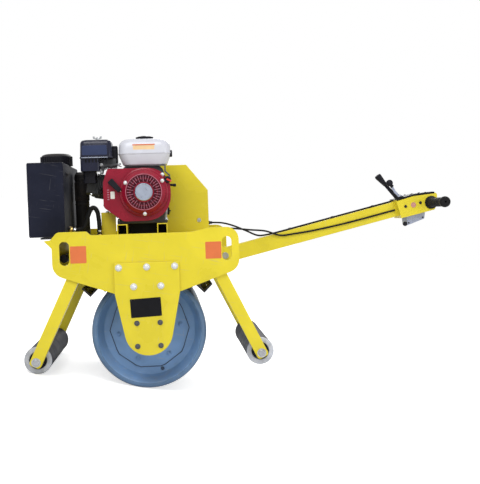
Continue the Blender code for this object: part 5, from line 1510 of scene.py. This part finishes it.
class ROLLER_OT_cables(bpy.types.Operator):
    """The two control cables"""

    bl_idname = "roller.cables"
    bl_label = "Control cables"

    def execute(self, context):
        rest, side = 0.0038, -0.0338
        throttle = [(0.2526, 0.140, 0.392), (0.270, 0.140, 0.392), (0.310, 0.112, 0.389),
                    (0.350, 0.066, 0.377), (0.395, 0.020, 0.357)]
        throttle += [(x, -0.014, tube_top(x, above)) for x, above in ((0.440, 0.013), (0.480, 0.0055))]
        throttle += [(x, -0.014, tube_top(x, rest))
                     for x in (0.530, 0.600, 0.680, 0.760, 0.860, 0.940, 0.9975)]
        drive = [(0.120, -0.190, DECK_TOP + rest), (0.170, -0.172, DECK_TOP + 0.006), (0.230, -0.130, 0.366),
                 (0.285, -0.090, 0.370), (0.340, -0.066, 0.368), (0.408, -0.052, 0.360),
                 (0.470, -0.044, 0.353)]
        for x, below in ((0.530, 0.010), (0.590, 0.019), (0.660, 0.026), (0.760, 0.031), (0.860, 0.033),
                         (0.940, 0.033)):
            drive.append((x, side - max(0.0, 0.600 - x) * 0.04, tube_top(x, -below)))
        drive.append((1.0, side, tube_top(1.0, -0.033)))
        self.cable("throttle_cable", throttle)
        self.cable("drive_cable", drive)
        self.ends()
        return {"FINISHED"}

    def cable(self, node, points):
        """A cable drawn as a tube along its route, in place of its node."""
        bm = bmesh.new()
        tube(bm, smooth_line(points, 14), CABLE_RADIUS, 14)
        made = shaped(node + "_finished", bm, "rubber", smooth=50)
        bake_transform(made)
        stand_for(made, node)

    def ends(self):
        """The ferrule where the throttle cable enters the guard."""
        ferrule = bmesh.new()
        place = looking("back", level_box("belt_guard")[1].x, 0.140, 0.392)
        turned(ferrule, [(0.0038, -0.0004), (0.0078, -0.0004), (0.0078, 0.004), (0.0060, 0.006),
                         (0.0056, 0.014), (0.0038, 0.016)], place, 24)
        piece("throttle_cable_ferrule", ferrule, "black_plastic")


# ---------------------------------------------------------------- stage

class ROLLER_OT_stage(bpy.types.Operator):
    """A pale studio floor, soft lights and the camera"""

    bl_idname = "roller.stage"
    bl_label = "Studio"

    def execute(self, context):
        self.floor(detail_of(context).floor)
        self.sky()
        self.light("key", (-1.4, -3.0, 3.6), 2.6, 95)
        self.light("fill", (2.8, -2.6, 1.4), 2.4, 30)
        self.light("back", (0.4, 3.0, 2.8), 2.4, 55)
        self.camera()
        return {"FINISHED"}

    def floor(self, radius):
        bm = bmesh.new()
        bmesh.ops.create_circle(bm, cap_ends=True, segments=96, radius=radius)
        mesh = bpy.data.meshes.new("studio_floor")
        bm.to_mesh(mesh)
        bm.free()
        made = bpy.data.objects.new("studio_floor", mesh)
        made.location.z = -0.0005
        bpy.context.collection.objects.link(made)
        material = bpy.data.materials.new("studio_floor")
        material.use_nodes = True
        tree = material.node_tree
        shader = tree.nodes["Principled BSDF"]
        shader.inputs["Base Color"].default_value = (0.80, 0.80, 0.80, 1)
        shader.inputs["Roughness"].default_value = 0.9
        shader.inputs["Specular IOR Level"].default_value = 0.1
        shader.inputs["Emission Color"].default_value = (1.0, 1.0, 1.0, 1)
        seen = add_node(tree, "ShaderNodeLightPath").outputs["Is Camera Ray"]
        tree.links.new(math_node(tree, "MULTIPLY", seen, 0.64), shader.inputs["Emission Strength"])
        mesh.materials.append(material)

    def sky(self):
        world = bpy.data.worlds.new("studio")
        world.use_nodes = True
        tree = world.node_tree
        seen = add_node(tree, "ShaderNodeLightPath").outputs["Is Camera Ray"]
        tree.links.new(range_node(tree, seen, 0.0, 1.0, 0.72, 1.0),
                       tree.nodes["Background"].inputs["Strength"])
        tree.nodes["Background"].inputs["Color"].default_value = (1.0, 1.0, 1.0, 1)
        bpy.context.scene.world = world
        bpy.context.scene.view_settings.view_transform = "Standard"

    def light(self, name, place, size, power):
        data = bpy.data.lights.new(name, "AREA")
        data.shape = "DISK"
        data.size = size
        data.energy = power
        made = bpy.data.objects.new(name, data)
        made.location = place
        aim = Vector((0.0, 0.0, 0.45)) - Vector(place)
        made.rotation_euler = aim.to_track_quat("-Z", "Y").to_euler()
        bpy.context.collection.objects.link(made)

    def camera(self):
        """Level with the machine's own frame, from its left."""
        data = bpy.data.cameras.new("camera")
        data.sensor_width = 36.0
        data.lens = CAMERA_LENS
        data.clip_end = 200.0
        made = bpy.data.objects.new("camera", data)
        turn = Matrix(CAMERA_AXES).transposed().to_4x4()
        made.matrix_world = LEVEL_TO_WORLD @ Matrix.Translation(CAMERA_AT) @ turn
        bpy.context.collection.objects.link(made)
        bpy.context.scene.camera = made


# ---------------------------------------------------------------- the add-on

OPERATORS = (ROLLER_OT_stage, ROLLER_OT_plates, ROLLER_OT_drum, ROLLER_OT_legs, ROLLER_OT_tank,
             ROLLER_OT_engine, ROLLER_OT_tops, ROLLER_OT_guard, ROLLER_OT_handle, ROLLER_OT_cables)


class ROLLER_PT_panel(bpy.types.Panel):
    """Lists the roller's settings and the steps that build it"""

    bl_idname = "ROLLER_PT_panel"
    bl_label = "Roller"
    bl_space_type = "VIEW_3D"
    bl_region_type = "UI"
    bl_category = "Roller"

    def draw(self, context):
        for group in (context.scene.roller_colours, context.scene.roller_detail):
            for name in group.__annotations__:
                self.layout.prop(group, name)
        for operator in OPERATORS:
            self.layout.operator(operator.bl_idname)


CLASSES = (RollerColours, RollerDetail) + OPERATORS + (ROLLER_PT_panel,)


def register():
    for kind in CLASSES:
        bpy.utils.register_class(kind)
    bpy.types.Scene.roller_colours = PointerProperty(type=RollerColours)
    bpy.types.Scene.roller_detail = PointerProperty(type=RollerDetail)


def unregister():
    del bpy.types.Scene.roller_detail
    del bpy.types.Scene.roller_colours
    for kind in reversed(CLASSES):
        bpy.utils.unregister_class(kind)


def main():
    register()
    build_groups()
    build_materials(bpy.context.scene.roller_colours, bpy.context.scene.roller_detail)
    for operator in OPERATORS:
        category, name = operator.bl_idname.split(".")
        getattr(getattr(bpy.ops, category), name)()


if __name__ == "__main__":
    main()
